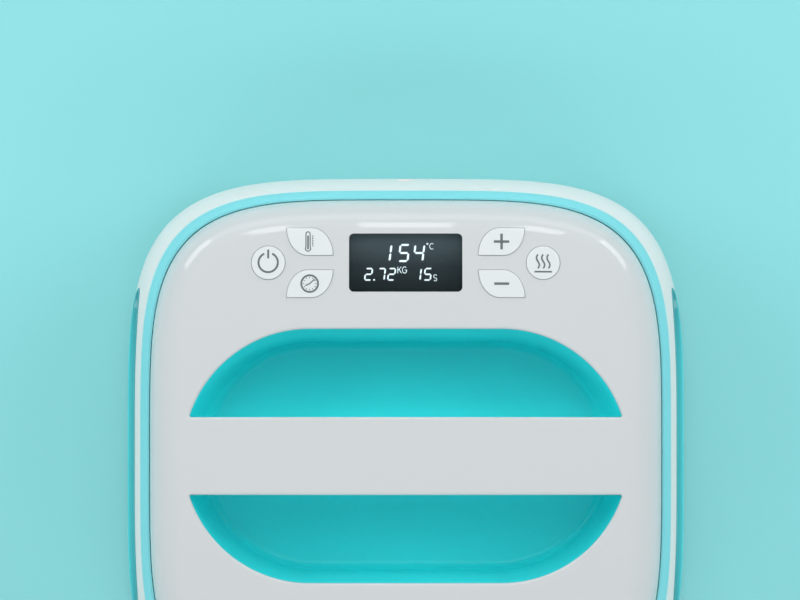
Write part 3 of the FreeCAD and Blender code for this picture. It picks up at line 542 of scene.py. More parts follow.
def growLoop(loop, distance):
    # moves an outline outwards, each corner along its own bisector
    area = sum(a[0] * b[1] - b[0] * a[1] for a, b in zip(loop, loop[1:] + loop[:1]))
    sense = 1 if area > 0 else -1
    grown = []
    for i, (x, y) in enumerate(loop):
        (x0, y0), (x1, y1) = loop[i - 1], loop[(i + 1) % len(loop)]
        ax, ay = x - x0, y - y0
        bx, by = x1 - x, y1 - y
        la, lb = math.hypot(ax, ay), math.hypot(bx, by)
        nx, ny = ay / la + by / lb, -ax / la - bx / lb
        size = max(nx * nx + ny * ny, 1.2)
        grown.append((x + sense * 2 * nx / size * distance, y + sense * 2 * ny / size * distance))
    return grown


# the housing's surface

shell = {"half": 120.8, "baseZ": 69.4, "crownTop": 117.9, "crownRadius": 1100.0, "shoulder": 18.0,
         "draft": 6.2, "wall": 2.6, "sideRows": 5, "arcSteps": 22, "innerArcSteps": 10, "netStep": 3.6,
         "innerNetStep": 12.0, "rimRound": 1.2, "rimSteps": 7, "supportStep": 0.5, "sharpAngle": 28.0,
         "fineArcSteps": 60, "fineSteps": 960, "settleRounds": 6, "cutLow": 95.0, "cutHigh": 130.0}


def crownZ(x, y, inset=0.0):
    # height of the crown's ball over x, y, or of its inside
    radius = shell["crownRadius"]
    return shell["crownTop"] - radius + math.sqrt((radius - inset) ** 2 - x * x - y * y)


def domeLoops(inset, arcSteps, steps=None):
    # loops from the housing's lower edge up its sides and over the shoulder to where the crown starts
    slope = math.tan(math.radians(shell["draft"]))
    ball = shell["shoulder"] - inset
    centreZ = shell["crownTop"] - shell["crownRadius"]
    sideRows = shell["sideRows"]
    loops = [[] for _ in range(sideRows + arcSteps + 1)]
    for px, py in roundSquare(1.0, steps):
        nx, ny = outwardAt(px, py)
        lean = math.atan(slope * (px * nx + py * ny))
        z = shell["crownTop"] - ball
        for _ in range(shell["settleRounds"]):
            contactZ = z + ball * math.sin(lean)
            half = shell["half"] - inset - slope * (contactZ - shell["baseZ"])
            cx, cy = px * half - ball * math.cos(lean) * nx, py * half - ball * math.cos(lean) * ny
            z = centreZ + math.sqrt((shell["crownRadius"] - inset - ball) ** 2 - cx * cx - cy * cy)
        side = Vector((nx * math.cos(lean), ny * math.cos(lean), math.sin(lean)))
        up = Vector((cx, cy, z - centreZ)).normalized()
        for k in range(sideRows):
            rise = (contactZ - shell["baseZ"]) * k / sideRows
            half = shell["half"] - inset - slope * rise
            loops[k].append((px * half, py * half, shell["baseZ"] + rise))
        turn = side.angle(up)
        for k in range(arcSteps + 1):
            a = turn * k / arcSteps
            direction = (side * math.sin(turn - a) + up * math.sin(a)) / math.sin(turn)
            loops[sideRows + k].append(tuple(Vector((cx, cy, z)) + direction * ball))
    return loops


def shoulderTree():
    # a fine net of the shoulder, for finding heights on it
    draft = Draft()
    draft.strip(domeLoops(0.0, shell["fineArcSteps"], shell["fineSteps"])[shell["sideRows"] - 1:])
    return BVHTree.FromPolygons([Vector(p) for p in draft.points], draft.faces)


shoulder = shoulderTree()


def surfaceZ(x, y):
    # height of the housing's outside over x, y
    hit = shoulder.ray_cast(Vector((x, y, 300.0)), Vector((0, 0, -1)))[0]
    return hit.z if hit else crownZ(x, y)


# top housing

well = {"radius": 57.6, "straight": 43.6, "taper": 5.0, "setBack": 1.0, "floorRound": 4.5, "floorZ": 59.9,
        "underZ": 57.5, "wall": 2.4, "corner": 0.8, "cornerSteps": 8, "edgeGap": 0.3, "arcSteps": 60,
        "floorSteps": 16, "floorMargin": 0.6, "lowRows": (72.0, 78.0, 85.0), "highRows": (98.0, 104.0),
        "topZ": 112.0, "turnSteps": 30, "notchSteps": 12, "straightSteps": 20}
bar = {"width": 35.3, "bottomZ": 92.9, "seatZ": 104.9, "half": 104.4, "wall": 2.4, "underRound": 8.0,
       "hidden": 0.02, "endGap": 1.0, "wallRise": 0.3, "wallSteps": 40, "rollSteps": 14, "baseSteps": 24}
keySizes = {"rowY": 87.7, "roundX": 62.4, "roundRadius": 7.8, "leafX": 43.5, "leafY": 9.6, "leafWidth": 21.4,
            "leafHeight": 12.9, "leafCurve": 9.9, "leafSteps": 22, "roundSteps": 72, "gap": 0.15, "proud": 0.6,
            "edge": 0.45, "edgeSteps": 5, "margin": 0.3, "depth": 4.0, "netStep": 1.4, "sharpAngle": 50.0}
window = {"width": 51.4, "height": 26.6, "corner": 2.2, "gap": 0.15, "sink": 0.15, "thick": 1.6, "edge": 0.35,
          "edgeSteps": 4, "clear": 0.02, "netStep": 3.0, "underStep": 6.0}


def fingerOpening(side, grow):
    # half of the well's mouth, on one side of the bar
    edge = bar["width"] / 2
    corner, radius, straight = well["corner"], well["radius"], well["straight"]
    reach = math.sqrt((radius - corner) ** 2 - (edge + corner) ** 2)
    turn = math.degrees(math.atan2(edge + corner, reach))
    steps = well["arcSteps"]
    loop = arcLoop([
        (straight + reach, edge + corner, corner, -90, turn, well["cornerSteps"]),
        (straight, 0, radius, turn, 90, steps),
        (-straight, 0, radius, 90, 180 - turn, steps),
        (-straight - reach, edge + corner, corner, 180 - turn, 270, well["cornerSteps"])], grow)
    return loop if side > 0 else [(x, -y) for x, y in reversed(loop)]


def leafOutline(sense, grow):
    # two sharp corners on one diagonal and two swept ones on the other
    wide, tall = keySizes["leafWidth"] / 2 + grow, keySizes["leafHeight"] / 2 + grow
    curve = keySizes["leafCurve"] + grow
    loop = []
    for turn in (1, -1):
        foot = turn * (wide - curve)
        steps = keySizes["leafSteps"]
        for i in range(steps + 1):
            a = math.pi / 2 * i / steps
            loop.append((foot + turn * curve * math.cos(a), -turn * tall + turn * 2 * tall * math.sin(a)))
        loop += [(foot - turn * (2 * wide - curve) * k / 6, turn * tall) for k in range(1, 6)]
    loop = cleanLoop(loop)
    return loop if sense > 0 else [(-x, y) for x, y in reversed(loop)]


# for each key its middle across, its rise over the row and the leaf's sense, 0 for a round key
keyPlans = {
    "power": (-keySizes["roundX"], 0.0, 0),
    "temperature": (-keySizes["leafX"], keySizes["leafY"], 1),
    "timer": (-keySizes["leafX"], -keySizes["leafY"], -1),
    "plus": (keySizes["leafX"], keySizes["leafY"], -1),
    "minus": (keySizes["leafX"], -keySizes["leafY"], 1),
    "mode": (keySizes["roundX"], 0.0, 0),
}


def keyOutline(name, grow):
    x, up, sense = keyPlans[name]
    y = keySizes["rowY"] + up
    if sense == 0:
        return arcLoop([(x, y, keySizes["roundRadius"], 0, 360, keySizes["roundSteps"])], grow)
    return [(x + px, y + py) for px, py in leafOutline(sense, grow)]


def windowOutline(grow):
    return roundedBox(window["width"] + 2 * grow, window["height"] + 2 * grow, window["corner"] + grow,
                      0.0, keySizes["rowY"])


def crownRow(draft, loop, drop=0.0, inset=0.0):
    return draft.row([(x, y, crownZ(x, y, inset) - drop) for x, y in loop])


def makeBarWalls():
    # the two upright walls of the bar's upper half, hanging from the crown
    walls = Draft()
    edge, steps = bar["width"] / 2, bar["wallSteps"]
    for side in (1, -1):
        near, far = side * (edge - bar["hidden"]), side * (edge - bar["wall"])
        sections = []
        for k in range(steps + 1):
            x = (bar["half"] - bar["endGap"]) * (k / (steps / 2) - 1)
            top = crownZ(x, edge, shell["wall"]) + bar["wallRise"]
            sections.append([(x, near, bar["seatZ"]), (x, near, top), (x, far, top), (x, far, bar["seatZ"])])
        walls.tube(sections)
    return walls.mesh("barWalls")


def makeTopShell():
    draft = Draft()
    outer = draft.strip(domeLoops(0.0, shell["arcSteps"]))
    inner = draft.strip(domeLoops(shell["wall"], shell["innerArcSteps"]))
    draft.bridge(outer[0], inner[0])
    holes, innerHoles = [], []
    rim, steps = shell["rimRound"], shell["rimSteps"]
    for side in (1, -1):
        rows = [crownRow(draft, fingerOpening(side, rim + shell["supportStep"]))]
        for k in range(steps + 1):
            a = math.pi / 2 * k / steps
            rows.append(crownRow(draft, fingerOpening(side, rim * (1 - math.sin(a))), rim * (1 - math.cos(a))))
        rows.append(crownRow(draft, fingerOpening(side, 0.0), 0.0, shell["wall"]))
        draft.join(rows)
        holes.append(rows[0])
        innerHoles.append(rows[-1])
    fillBetween(draft, [outer[-1]] + holes, shell["netStep"], crownZ)
    fillBetween(draft, [inner[-1]] + innerHoles, shell["innerNetStep"], lambda x, y: crownZ(x, y, shell["wall"]))
    cutters = Draft()
    for outline in [keyOutline(name, 0.0) for name in keyPlans] + [windowOutline(0.0)]:
        cutters.slab(outline, shell["cutLow"], shell["cutHigh"])
    mesh = cutAway(draft.mesh("topShell"), cutters.mesh("keyHoles"))
    walls = makeBarWalls()
    tidyMesh(walls)
    work = bmesh.new()
    work.from_mesh(mesh)
    work.from_mesh(walls)
    work.to_mesh(mesh)
    work.free()
    finishPiece("topShell", mesh, "glossWhite", stands=["top_shell"], sharpAngle=shell["sharpAngle"])


makeTopShell()
print("top housing made")


# keys and their prints

def strokeSlab(draft, path, width, lift, proud=0.03, deep=0.05):
    # a flat printed line of even width along a path, lying on the surface
    sides = [[], []]
    for i, (x, y) in enumerate(path):
        x0, y0 = path[max(i - 1, 0)]
        x1, y1 = path[min(i + 1, len(path) - 1)]
        size = math.hypot(x1 - x0, y1 - y0)
        nx, ny = -(y1 - y0) / size * width / 2, (x1 - x0) / size * width / 2
        sides[0].append((x + nx, y + ny))
        sides[1].append((x - nx, y - ny))
    sections = []
    for (ax, ay), (bx, by) in zip(*sides):
        za, zb = lift(ax, ay), lift(bx, by)
        sections.append([(ax, ay, za - deep), (ax, ay, za + proud), (bx, by, zb + proud), (bx, by, zb - deep)])
    draft.tube(sections)


def arcPath(x, y, radius, start, stop, steps=24, squash=1.0):
    path = []
    for i in range(steps + 1):
        a = math.radians(start + (stop - start) * i / steps)
        path.append((x + radius * math.cos(a), y + radius * squash * math.sin(a)))
    return path


def straightPath(x0, y0, x1, y1, parts=4):
    return [(x0 + (x1 - x0) * k / parts, y0 + (y1 - y0) * k / parts) for k in range(parts + 1)]


# for each key its strokes, as a kind with its sizes, and each stroke's width
prints = {
    "power": [(("arc", 0, 0.1, 4.4, 114, 426, 48), 0.9), (("line", 0, 2.0, 0, 6.0), 0.9)],
    "temperature": [
        (("line", -1.75, -2.5, -1.75, 3.5), 0.5), (("line", 0.15, -2.5, 0.15, 3.5), 0.5),
        (("arc", -0.8, 3.5, 0.95, 0, 180, 14), 0.5), (("arc", -0.8, -3.2, 1.2, 142, 398, 24), 0.5),
        (("line", -0.8, -3.6, -0.8, 2.7), 0.75), (("line", 1.25, -2.2, 1.25, 2.8), 0.26)]
        + [(("line", 1.25, -2.0 + k * 1.15, 1.85, -2.0 + k * 1.15), 0.26) for k in range(5)],
    "timer": [
        (("arc", 0, 0, 3.8, 0, 360, 48), 0.85),
        (("line", 0, 0, 2.3, 2.1), 0.55), (("line", 0, 0, -2.0, -0.9), 0.55)]
        + [(("spoke", 30.0 * k, 2.5, 3.1), 0.36) for k in range(12)],
    "plus": [(("line", -3.5, 0, 3.5, 0), 1.15), (("line", 0, -3.6, 0, 3.6), 1.15)],
    "minus": [(("line", -3.4, 0, 3.4, 0), 1.15)],
    "mode": [(("wave", x), 0.75) for x in (-2.4, 0.0, 2.4)] + [(("line", -4.0, -4.1, 4.0, -4.1), 0.75)],
}
wave = {"swing": 0.65, "foot": -2.6, "tall": 6.4, "steps": 20}


def strokePath(kind, *values):
    if kind == "arc":
        x, y, radius, start, stop, steps = values
        return arcPath(x, y, radius, start, stop, steps)
    if kind == "line":
        return straightPath(*values)
    if kind == "spoke":
        turn = math.radians(values[0])
        return [(r * math.cos(turn), r * math.sin(turn)) for r in values[1:]]
    x, steps = values[0], wave["steps"]
    return [(x + wave["swing"] * math.sin(2 * math.pi * k / steps), wave["foot"] + wave["tall"] * k / steps)
            for k in range(steps + 1)]


def makeKey(name):
    x, up = keyPlans[name][:2]
    body = name + "_key_unit"
    lift = lambda px, py: surfaceZ(px, py) + keySizes["proud"]
    draft = Draft()
    gap, edge, steps = -keySizes["gap"], keySizes["edge"], keySizes["edgeSteps"]
    loops = [[(px, py, surfaceZ(px, py) - keySizes["depth"]) for px, py in keyOutline(name, gap)]]
    for k in range(steps + 1):
        a = math.pi / 2 * k / steps
        loop = keyOutline(name, gap - edge * (1 - math.cos(a)))
        loops.append([(px, py, lift(px, py) - edge * (1 - math.sin(a))) for px, py in loop])
    loops.append([(px, py, lift(px, py)) for px, py in keyOutline(name, gap - edge - keySizes["margin"])])
    rows = draft.strip(loops)
    draft.close(rows[0])
    fillBetween(draft, [rows[-1]], keySizes["netStep"], lift)
    finishPiece(name + "Key", draft.mesh(name + "Key"), "keyWhite", body, [name + "_key"],
                keySizes["sharpAngle"])
    mark = Draft()
    for stroke, width in prints[name]:
        path = [(x + px, keySizes["rowY"] + up + py) for px, py in strokePath(*stroke)]
        strokeSlab(mark, path, width, lift)
    finishPiece(name + "Print", mark.mesh(name + "Print"), "printGrey", body)


for name in keyPlans:
    makeKey(name)
print("keys made")


# display

panelSizes = {"width": 54.0, "depth": 31.0, "thick": 2.8, "corner": 0.5, "innerCorner": 0.3, "edge": 0.3,
              "topZ": 108.27}
digits = {
    "proud": 0.05, "deep": 0.05, "slant": 0.13, "sharpAngle": 30.0,
    "segments": {"1": "bc", "2": "abged", "4": "fgbc", "5": "afgcd", "7": "abc"},
    # figure width, height and stroke
    "large": (5.0, 8.3, 0.92), "small": (3.6, 5.9, 0.70),
    # figures with their left x and foot y
    "figures": [("1", -12.0, 88.4, "large"), ("5", -3.8, 88.4, "large"), ("4", 3.0, 88.4, "large"),
                ("2", -19.1, 79.9, "small"), ("7", -13.2, 79.9, "small"), ("2", -8.6, 79.9, "small"),
                ("1", 3.2, 79.9, "small"), ("5", 7.9, 79.9, "small")],
    "points": [(-14.4, 80.3, 0.42)],
    "unitStroke": 0.27,
}
units = {
    "degreesC": [arcPath(9.9, 96.7, 0.32, 0, 360, 12), arcPath(11.9, 95.6, 0.95, 45, 315, 20, 1.4)],
    "kilograms": [
        straightPath(-3.6, 83.3, -3.6, 86.3), straightPath(-3.5, 84.6, -2.0, 86.3),
        straightPath(-3.0, 85.1, -1.9, 83.3), arcPath(-0.5, 84.8, 1.0, 45, 360, 20, 1.45),
        straightPath(-0.4, 84.8, 0.5, 84.8)],
    "seconds": [arcPath(13.5, 81.9, 0.75, 25, 270, 12), arcPath(13.5, 80.5, 0.7, 90, -155, 12)],
}


def segmentLoops(width, height, stroke):
    # outlines of the seven bars of a figure, pointed at their ends and a gap apart
    mid, s, g = height / 2, stroke / 2, stroke * 0.16

    def flat(y):
        return [(s + g, y), (2 * s + g, y + s), (width - 2 * s - g, y + s), (width - s - g, y),
                (width - 2 * s - g, y - s), (2 * s + g, y - s)]

    def tall(x, low, high):
        return [(x, low + g), (x + s, low + s + g), (x + s, high - s - g), (x, high - g),
                (x - s, high - s - g), (x - s, low + s + g)]

    return {"a": flat(height - s), "g": flat(mid), "d": flat(s),
            "f": tall(s, mid, height - s), "b": tall(width - s, mid, height - s),
            "e": tall(s, s, mid), "c": tall(width - s, s, mid)}


def makeDisplayPanel():
    panel = Draft()
    top, edge, corner = panelSizes["topZ"], panelSizes["edge"], panelSizes["corner"]
    width, depth = panelSizes["width"], panelSizes["depth"]
    sections = [(width, depth, corner, top - panelSizes["thick"]), (width, depth, corner, top - edge),
                (width - 2 * edge, depth - 2 * edge, panelSizes["innerCorner"], top)]
    panel.tube([[(x, y, z) for x, y in roundedBox(w, d, turn, 0, keySizes["rowY"], 4)]
                for w, d, turn, z in sections])
    finishPiece("displayPanel", panel.mesh("displayPanel"), "displayGlass", stands=["lcd_panel"])


def makeDigits():
    lit = Draft()
    z = panelSizes["topZ"]
    low, high = z - digits["deep"], z + digits["proud"]
    for figure, left, foot, size in digits["figures"]:
        loops = segmentLoops(*digits[size])
        for key in digits["segments"][figure]:
            lit.slab([(left + x + digits["slant"] * y, foot + y) for x, y in loops[key]], low, high)
    for x, y, radius in digits["points"]:
        lit.slab(arcLoop([(x, y, radius, 0, 360, 12)]), low, high)
    for paths in units.values():
        for path in paths:
            strokeSlab(lit, path, digits["unitStroke"], lambda x, y: z, digits["proud"])
    finishPiece("displayDigits", lit.mesh("displayDigits"), "litSegments", sharpAngle=digits["sharpAngle"])


def makeDisplayCover():
    # a thin pane that follows the crown
    pane = Draft()
    gap, sink, edge, steps = window["gap"], window["sink"], window["edge"], window["edgeSteps"]
    under = window["thick"] + shell["wall"] - sink
    loop = windowOutline(-gap)
    rows = [crownRow(pane, loop, sink + under - window["clear"]), crownRow(pane, loop, sink + edge)]
    for k in range(steps + 1):
        a = math.pi / 2 * k / steps
        rows.append(crownRow(pane, windowOutline(-gap - edge * (1 - math.cos(a))), sink + edge * (1 - math.sin(a))))
    pane.join(rows)
    fillBetween(pane, [rows[-1]], window["netStep"], lambda x, y: crownZ(x, y) - sink)
    fillBetween(pane, [rows[0]], window["underStep"], lambda x, y: crownZ(x, y) - sink - under + window["clear"])
    finishPiece("displayCover", pane.mesh("displayCover"), "clearCover", stands=["display_window"])


makeDisplayPanel()
makeDigits()
makeDisplayCover()
print("display made")


# well and bar

def wellLoop(radius, notchHalf):
    # the well's outline, with points where the bar's notch begins
    turn = math.degrees(math.asin(min(notchHalf / radius, 0.99)))
    straight, steps = well["straight"], well["turnSteps"]
    points = []
    for x, first in ((straight, -90), (-straight, 90)):
        cuts = [first, first + 90 - turn, first + 90 + turn, first + 180]
        for low, high, count in zip(cuts, cuts[1:], (steps, well["notchSteps"], steps)):
            for i in range(count):
                a = math.radians(low + (high - low) * i / count)
                points.append((x + radius * math.cos(a), radius * math.sin(a)))
        a = math.radians(first + 180)
        endX, endY = x + radius * math.cos(a), radius * math.sin(a)
        for k in range(well["straightSteps"]):
            points.append((endX + (-x * 2) * k / well["straightSteps"], endY))
    return points


def makeWell():
    draft = Draft()
    slope = well["taper"] / (shell["crownTop"] - well["underZ"])
    foot = well["radius"] + well["setBack"] - well["taper"]
    notch = bar["width"] / 2 + well["edgeGap"]
    notchZ = bar["bottomZ"] - well["edgeGap"]
    ball, floorZ = well["floorRound"], well["floorZ"]
    lean = math.atan(slope)
    centre = foot + slope * ball - ball / math.cos(lean)
    steps, lowRows = well["floorSteps"], well["lowRows"]
    sideStart = well["turnSteps"]
    sideStop = sideStart + well["notchSteps"]
    halfway = sideStop + sideStart + well["straightSteps"]
    columns = (sideStart, sideStop, halfway + sideStart, halfway + sideStop)
    middle = set(range(*columns[:2])) | set(range(*columns[2:]))
    level = steps + len(lowRows) + 2  # the row at the foot of the bar's notches
    topDrop = shell["wall"] + well["edgeGap"]

    def skin(extra, floorLevel):
        shift = floorLevel - floorZ
        flat = wellLoop(centre + extra - well["floorMargin"], notch)
        rows = [draft.row([(x, y, floorLevel) for x, y in flat])]
        for k in range(steps + 1):
            a = math.pi / 2 - (math.pi / 2 - lean) * k / steps
            radius = centre + extra + ball * math.cos(a)
            z = floorZ + shift + ball - ball * math.sin(a)
            rows.append(draft.row([(x, y, z) for x, y in wellLoop(radius, notch)]))
        for z in (*lowRows, notchZ, *well["highRows"]):
            rows.append(draft.row([(x, y, z) for x, y in wellLoop(foot + extra + slope * (z - floorZ), notch)]))
        top = wellLoop(foot + extra + slope * (well["topZ"] - floorZ), notch)
        rows.append(draft.row([(x, y, crownZ(x, y) - topDrop) for x, y in top]))
        for i, (first, second) in enumerate(zip(rows, rows[1:])):
            draft.bridge(first, second, middle if i >= level else ())
        draft.close(rows[0])
        return rows

    inside = skin(0.0, floorZ)
    outside = skin(well["wall"], well["underZ"])
    draft.bridge(inside[-1], outside[-1], middle)
    for i in sorted(middle):
        draft.faces.append((inside[level][i], inside[level][i + 1], outside[level][i + 1], outside[level][i]))
    for column in columns:
        for k in range(level, len(inside) - 1):
            draft.faces.append((inside[k][column], inside[k + 1][column],
                                outside[k + 1][column], outside[k][column]))
    finishPiece("wellTub", draft.mesh("wellTub"), "wellBlue", stands=["well_liner"], sharpAngle=40.0)


def makeBarBase():
    # the bar's lower half, its lower edges rolled
    half, ball, low, high = bar["width"] / 2, bar["underRound"], bar["bottomZ"], bar["seatZ"]
    section = [(-half, high), (half, high)]
    turns = [math.pi / 2 * k / bar["rollSteps"] for k in range(bar["rollSteps"] + 1)]
    section += [(half - ball + ball * math.cos(a), low + ball - ball * math.sin(a)) for a in turns]
    section += [(-half + ball - ball * math.sin(a), low + ball - ball * math.cos(a)) for a in turns]
    draft = Draft()
    steps = bar["baseSteps"]
    stations = [bar["half"] * (k / (steps / 2) - 1) for k in range(steps + 1)]
    draft.tube([[(x, y, z) for y, z in section] for x in stations])
    finishPiece("barBase", draft.mesh("barBase"), "wellBlue", stands=["handle_base"])


makeWell()
makeBarBase()
print("well and bar made")


# lathe round the body's outline, in Geometry Nodes

def newTree(name, taken, given, sizes):
    # a Geometry Nodes tree with its named inputs, to be filled
    tree = bpy.data.node_groups.new(name, "GeometryNodeTree")
    face = tree.interface
    face.new_socket(taken, in_out="INPUT", socket_type="NodeSocketGeometry")
    for title, kind, value in (*sizes, ("Finish", "NodeSocketMaterial", None)):
        socket = face.new_socket(title, in_out="INPUT", socket_type=kind)
        if value is not None:
            socket.default_value = value
    face.new_socket(given, in_out="OUTPUT", socket_type="NodeSocketGeometry")
    net = Net(tree)
    inputs = net.add("NodeGroupInput", output=None)
    return tree, net, {socket.name: Signal(net, socket) for socket in inputs.outputs if socket.name}


def closeTree(net, geometry, finish):
    real = net.add("GeometryNodeRealizeInstances", {}, {"Geometry": geometry})
    coated = net.add("GeometryNodeSetMaterial", {}, {"Geometry": real, "Material": finish})
    net.add("NodeGroupOutput", {}, {0: coated}, None)


def outlineLathe():
    # turns a section, given as the object's own points (half width, 0, height), round the body's outline
    tree, net, take = newTree("outlineLathe", "Section", "Ring", (
        ("Section points", "NodeSocketInt", 8), ("Round steps", "NodeSocketInt", 64),
        ("Corner power", "NodeSocketFloat", 4.2)))
    count, steps, power = take["Section points"], take["Round steps"], take["Corner power"]
    grid = net.add("GeometryNodeMeshGrid", {}, {"Vertices X": steps + 1, "Vertices Y": count + 1}, "Mesh")
    index = net.add("GeometryNodeInputIndex")
    column = net.add("ShaderNodeMath", {"operation": "FLOOR"}, {0: (index + 0.5) / (count + 1)})
    line = index - column * (count + 1)
    wrapped = net.add("ShaderNodeMath", {"operation": "FLOORED_MODULO"}, {0: line, 1: count})
    spot = net.add("GeometryNodeInputPosition")
    sample = net.add("GeometryNodeSampleIndex", {"data_type": "FLOAT_VECTOR", "domain": "POINT"},
                     {"Geometry": take["Section"], "Value": spot, "Index": wrapped + 0.5})
    split = net.add("ShaderNodeSeparateXYZ", {}, {0: sample}, None)
    half, height = Signal(net, split.outputs[0]), Signal(net, split.outputs[2])
    angle = column / steps * (2 * math.pi)
    cosine = net.add("ShaderNodeMath", {"operation": "COSINE"}, {0: angle})
    sine = net.add("ShaderNodeMath", {"operation": "SINE"}, {0: angle})
    bulkX = net.add("ShaderNodeMath", {"operation": "ABSOLUTE"}, {0: cosine}) ** power
    bulkY = net.add("ShaderNodeMath", {"operation": "ABSOLUTE"}, {0: sine}) ** power
    reach = half / ((bulkX + bulkY) ** (1.0 / power))
    place = net.add("ShaderNodeCombineXYZ", {}, {0: reach * cosine, 1: reach * sine, 2: height})
    moved = net.add("GeometryNodeSetPosition", {}, {"Geometry": grid, "Position": place})
    welded = net.add("GeometryNodeMergeByDistance", {}, {"Geometry": moved, "Distance": 1e-6})
    closeTree(net, welded, take["Finish"])
    return tree


def runTree(holder, tree, values):
    # runs a tree on an object, with its named inputs, and gives back a plain mesh
    step = holder.modifiers.new(tree.name, "NODES")
    step.node_group = tree
    for item in tree.interface.items_tree:
        if item.in_out == "INPUT" and item.name in values:
            step[item.identifier] = values[item.name]
    seen = bpy.context.evaluated_depsgraph_get()
    result = bpy.data.meshes.new_from_object(holder.evaluated_get(seen))
    holder.modifiers.remove(step)
    bpy.data.objects.remove(holder)
    return result


latheTree = outlineLathe()


def lathe(name, section, finish):
    # section: closed list of (half width, height) in millimetres
    mesh = bpy.data.meshes.new(name + "Section")
    mesh.from_pydata([(half * mm, 0.0, z * mm) for half, z in section], [], [])
    holder = bpy.data.objects.new(name, mesh)
    bpy.context.scene.collection.objects.link(holder)
    return runTree(holder, latheTree, {"Section points": len(section), "Round steps": bodyPlan["steps"],
                                       "Corner power": bodyPlan["power"], "Finish": finishes[finish]})


rollSteps = 5  # faces across a rolled corner of a lathed section


def roundedSection(corners):
    # section corners (half, z, radius) with each corner rolled by its radius
    points = []
    for i, (x, z, radius) in enumerate(corners):
        if radius == 0:
            points.append((x, z))
            continue
        before, after = Vector(corners[i - 1][:2]), Vector(corners[(i + 1) % len(corners)][:2])
        here = Vector((x, z))
        a, b = (before - here).normalized(), (after - here).normalized()
        turn = a.angle(b)
        reach = radius / math.tan(turn / 2)
        start, stop = here + a * reach, here + b * reach
        middle = here + (a + b).normalized() * (radius / math.sin(turn / 2))
        da, db = start - middle, stop - middle
        sweep = da.angle(db)
        for k in range(rollSteps + 1):
            t = k / rollSteps
            spot = middle + (da * math.sin(sweep * (1 - t)) + db * math.sin(sweep * t)) / math.sin(sweep)
            points.append(tuple(spot))
    return points


ring = {"footHalf": 126.3, "footZ": 61.9, "topHalf": 122.0, "topZ": 72.4, "bow": 1.7, "grooveHalf": 120.86,
        "grooveZ": 69.4, "upstandHalf": 117.14, "upstandZ": 76.4, "wall": 2.2, "downHalf": 123.2, "downZ": 59.5,
        "slopeSteps": 10, "edge": 0.3, "lipEdge": 0.2}


def makeTrimRing():
    foot, footZ, top, topZ, edge = (ring[key] for key in ("footHalf", "footZ", "topHalf", "topZ", "edge"))
    groove, grooveZ, upstand, upstandZ = (ring[key] for key in ("grooveHalf", "grooveZ", "upstandHalf", "upstandZ"))
    slope = []
    for k in range(1, ring["slopeSteps"]):
        share = k / ring["slopeSteps"]
        slope.append((foot - (foot - top) * share ** ring["bow"], footZ + (topZ - footZ) * share, 0))
    inner, down = upstand - ring["wall"], ring["downHalf"] - ring["wall"]
    section = roundedSection([(foot, footZ, 0), (foot, footZ + edge, 0)] + slope + [
        (top, topZ, edge), (groove, topZ, ring["lipEdge"]), (groove, grooveZ, 0), (upstand, grooveZ, 0),
        (upstand, upstandZ, edge), (inner, upstandZ, edge), (inner, footZ, 0), (down, footZ, 0),
        (down, ring["downZ"], edge), (ring["downHalf"], ring["downZ"], edge), (ring["downHalf"], footZ, 0)])
    finishPiece("trimRing", lathe("trimRing", section, "ringBlue"), "ringBlue", stands=["trim_ring"])


skirt = {"bottom": 9.0, "top": 61.9, "widest": 26.0, "half": 136.0, "rimHalf": 126.3, "footHalf": 131.8,
         "bow": 1.5, "wall": 2.8, "ledgeHalf": 113.0, "ledgeZ": 52.1, "chassisZ": 54.5, "rows": 44,
         "innerStride": 4, "clearBelow": 1.0, "clearAbove": 1.5, "cutReach": 150.0, "sharpAngle": 32.0,
         # the rolled foot, as insets from the foot's half width and heights over the bottom
         "foot": ((0.4, 0.0), (0.05, 0.3))}
grip = {"z": 40.55, "half": 80.0, "tall": 9.75, "end": 34.0, "depth": 15.0, "floorRound": 4.0, "wall": 1.5,
        "gap": 0.15, "lip": 0.5, "lipOuter": 0.45, "lipInner": 0.75, "outerSteps": 5, "innerSteps": 6,
        "floorSteps": 8, "endSteps": 32, "straightSteps": 24, "wallShares": (0.75, 0.5, 0.25),
        "backBevel": 2.0, "backSink": 1.0, "sharpAngle": 45.0}
gland = {"z": 38.1, "seatY": 130.4, "width": 20.0, "height": 15.0, "corner": 3.0, "cornerSteps": 8, "gap": 0.12,
         "bore": 3.7, "body": 6.4, "flat": 5.3, "length": 12.0, "bodyGap": 0.2, "edge": 0.3, "edgeSteps": 5,
         "sunk": 0.05, "faceShares": (0.66, 0.33),
         # the rolled mouth, as growth of the bore and depth under the wall
         "mouth": ((0.8, 0.05), (0.2, 0.3), (0.0, 1.1))}


def skirtHalf(z):
    # half the skirt's width at a height
    if z >= skirt["widest"]:
        share = (z - skirt["widest"]) / (skirt["top"] - skirt["widest"])
        return skirt["half"] - (skirt["half"] - skirt["rimHalf"]) * share ** skirt["bow"]
    share = (skirt["widest"] - z) / (skirt["widest"] - skirt["bottom"])
    return skirt["half"] - (skirt["half"] - skirt["footHalf"]) * share ** 2


def skirtReach(across, z):
    # how far out the skirt's wall stands, at a distance across it and a height
    power = bodyPlan["power"]
    return (skirtHalf(z) ** power - abs(across) ** power) ** (1 / power)


def gripOutline(grow):
    # the grip's long oval mouth in the Y-Z plane
    flat, end, tall = grip["half"] - grip["end"], grip["end"] + grow, grip["tall"] + grow
    turns, parts = grip["endSteps"], grip["straightSteps"]
    loop = []
    for side, start in ((1, -90), (-1, 90)):
        for k in range(turns + 1):
            a = math.radians(start + 180 * k / turns)
            loop.append((side * flat + end * math.cos(a), grip["z"] + tall * math.sin(a)))
        loop += [(side * flat * (1 - 2 * k / parts), grip["z"] + side * tall) for k in range(1, parts)]
    return cleanLoop(loop)


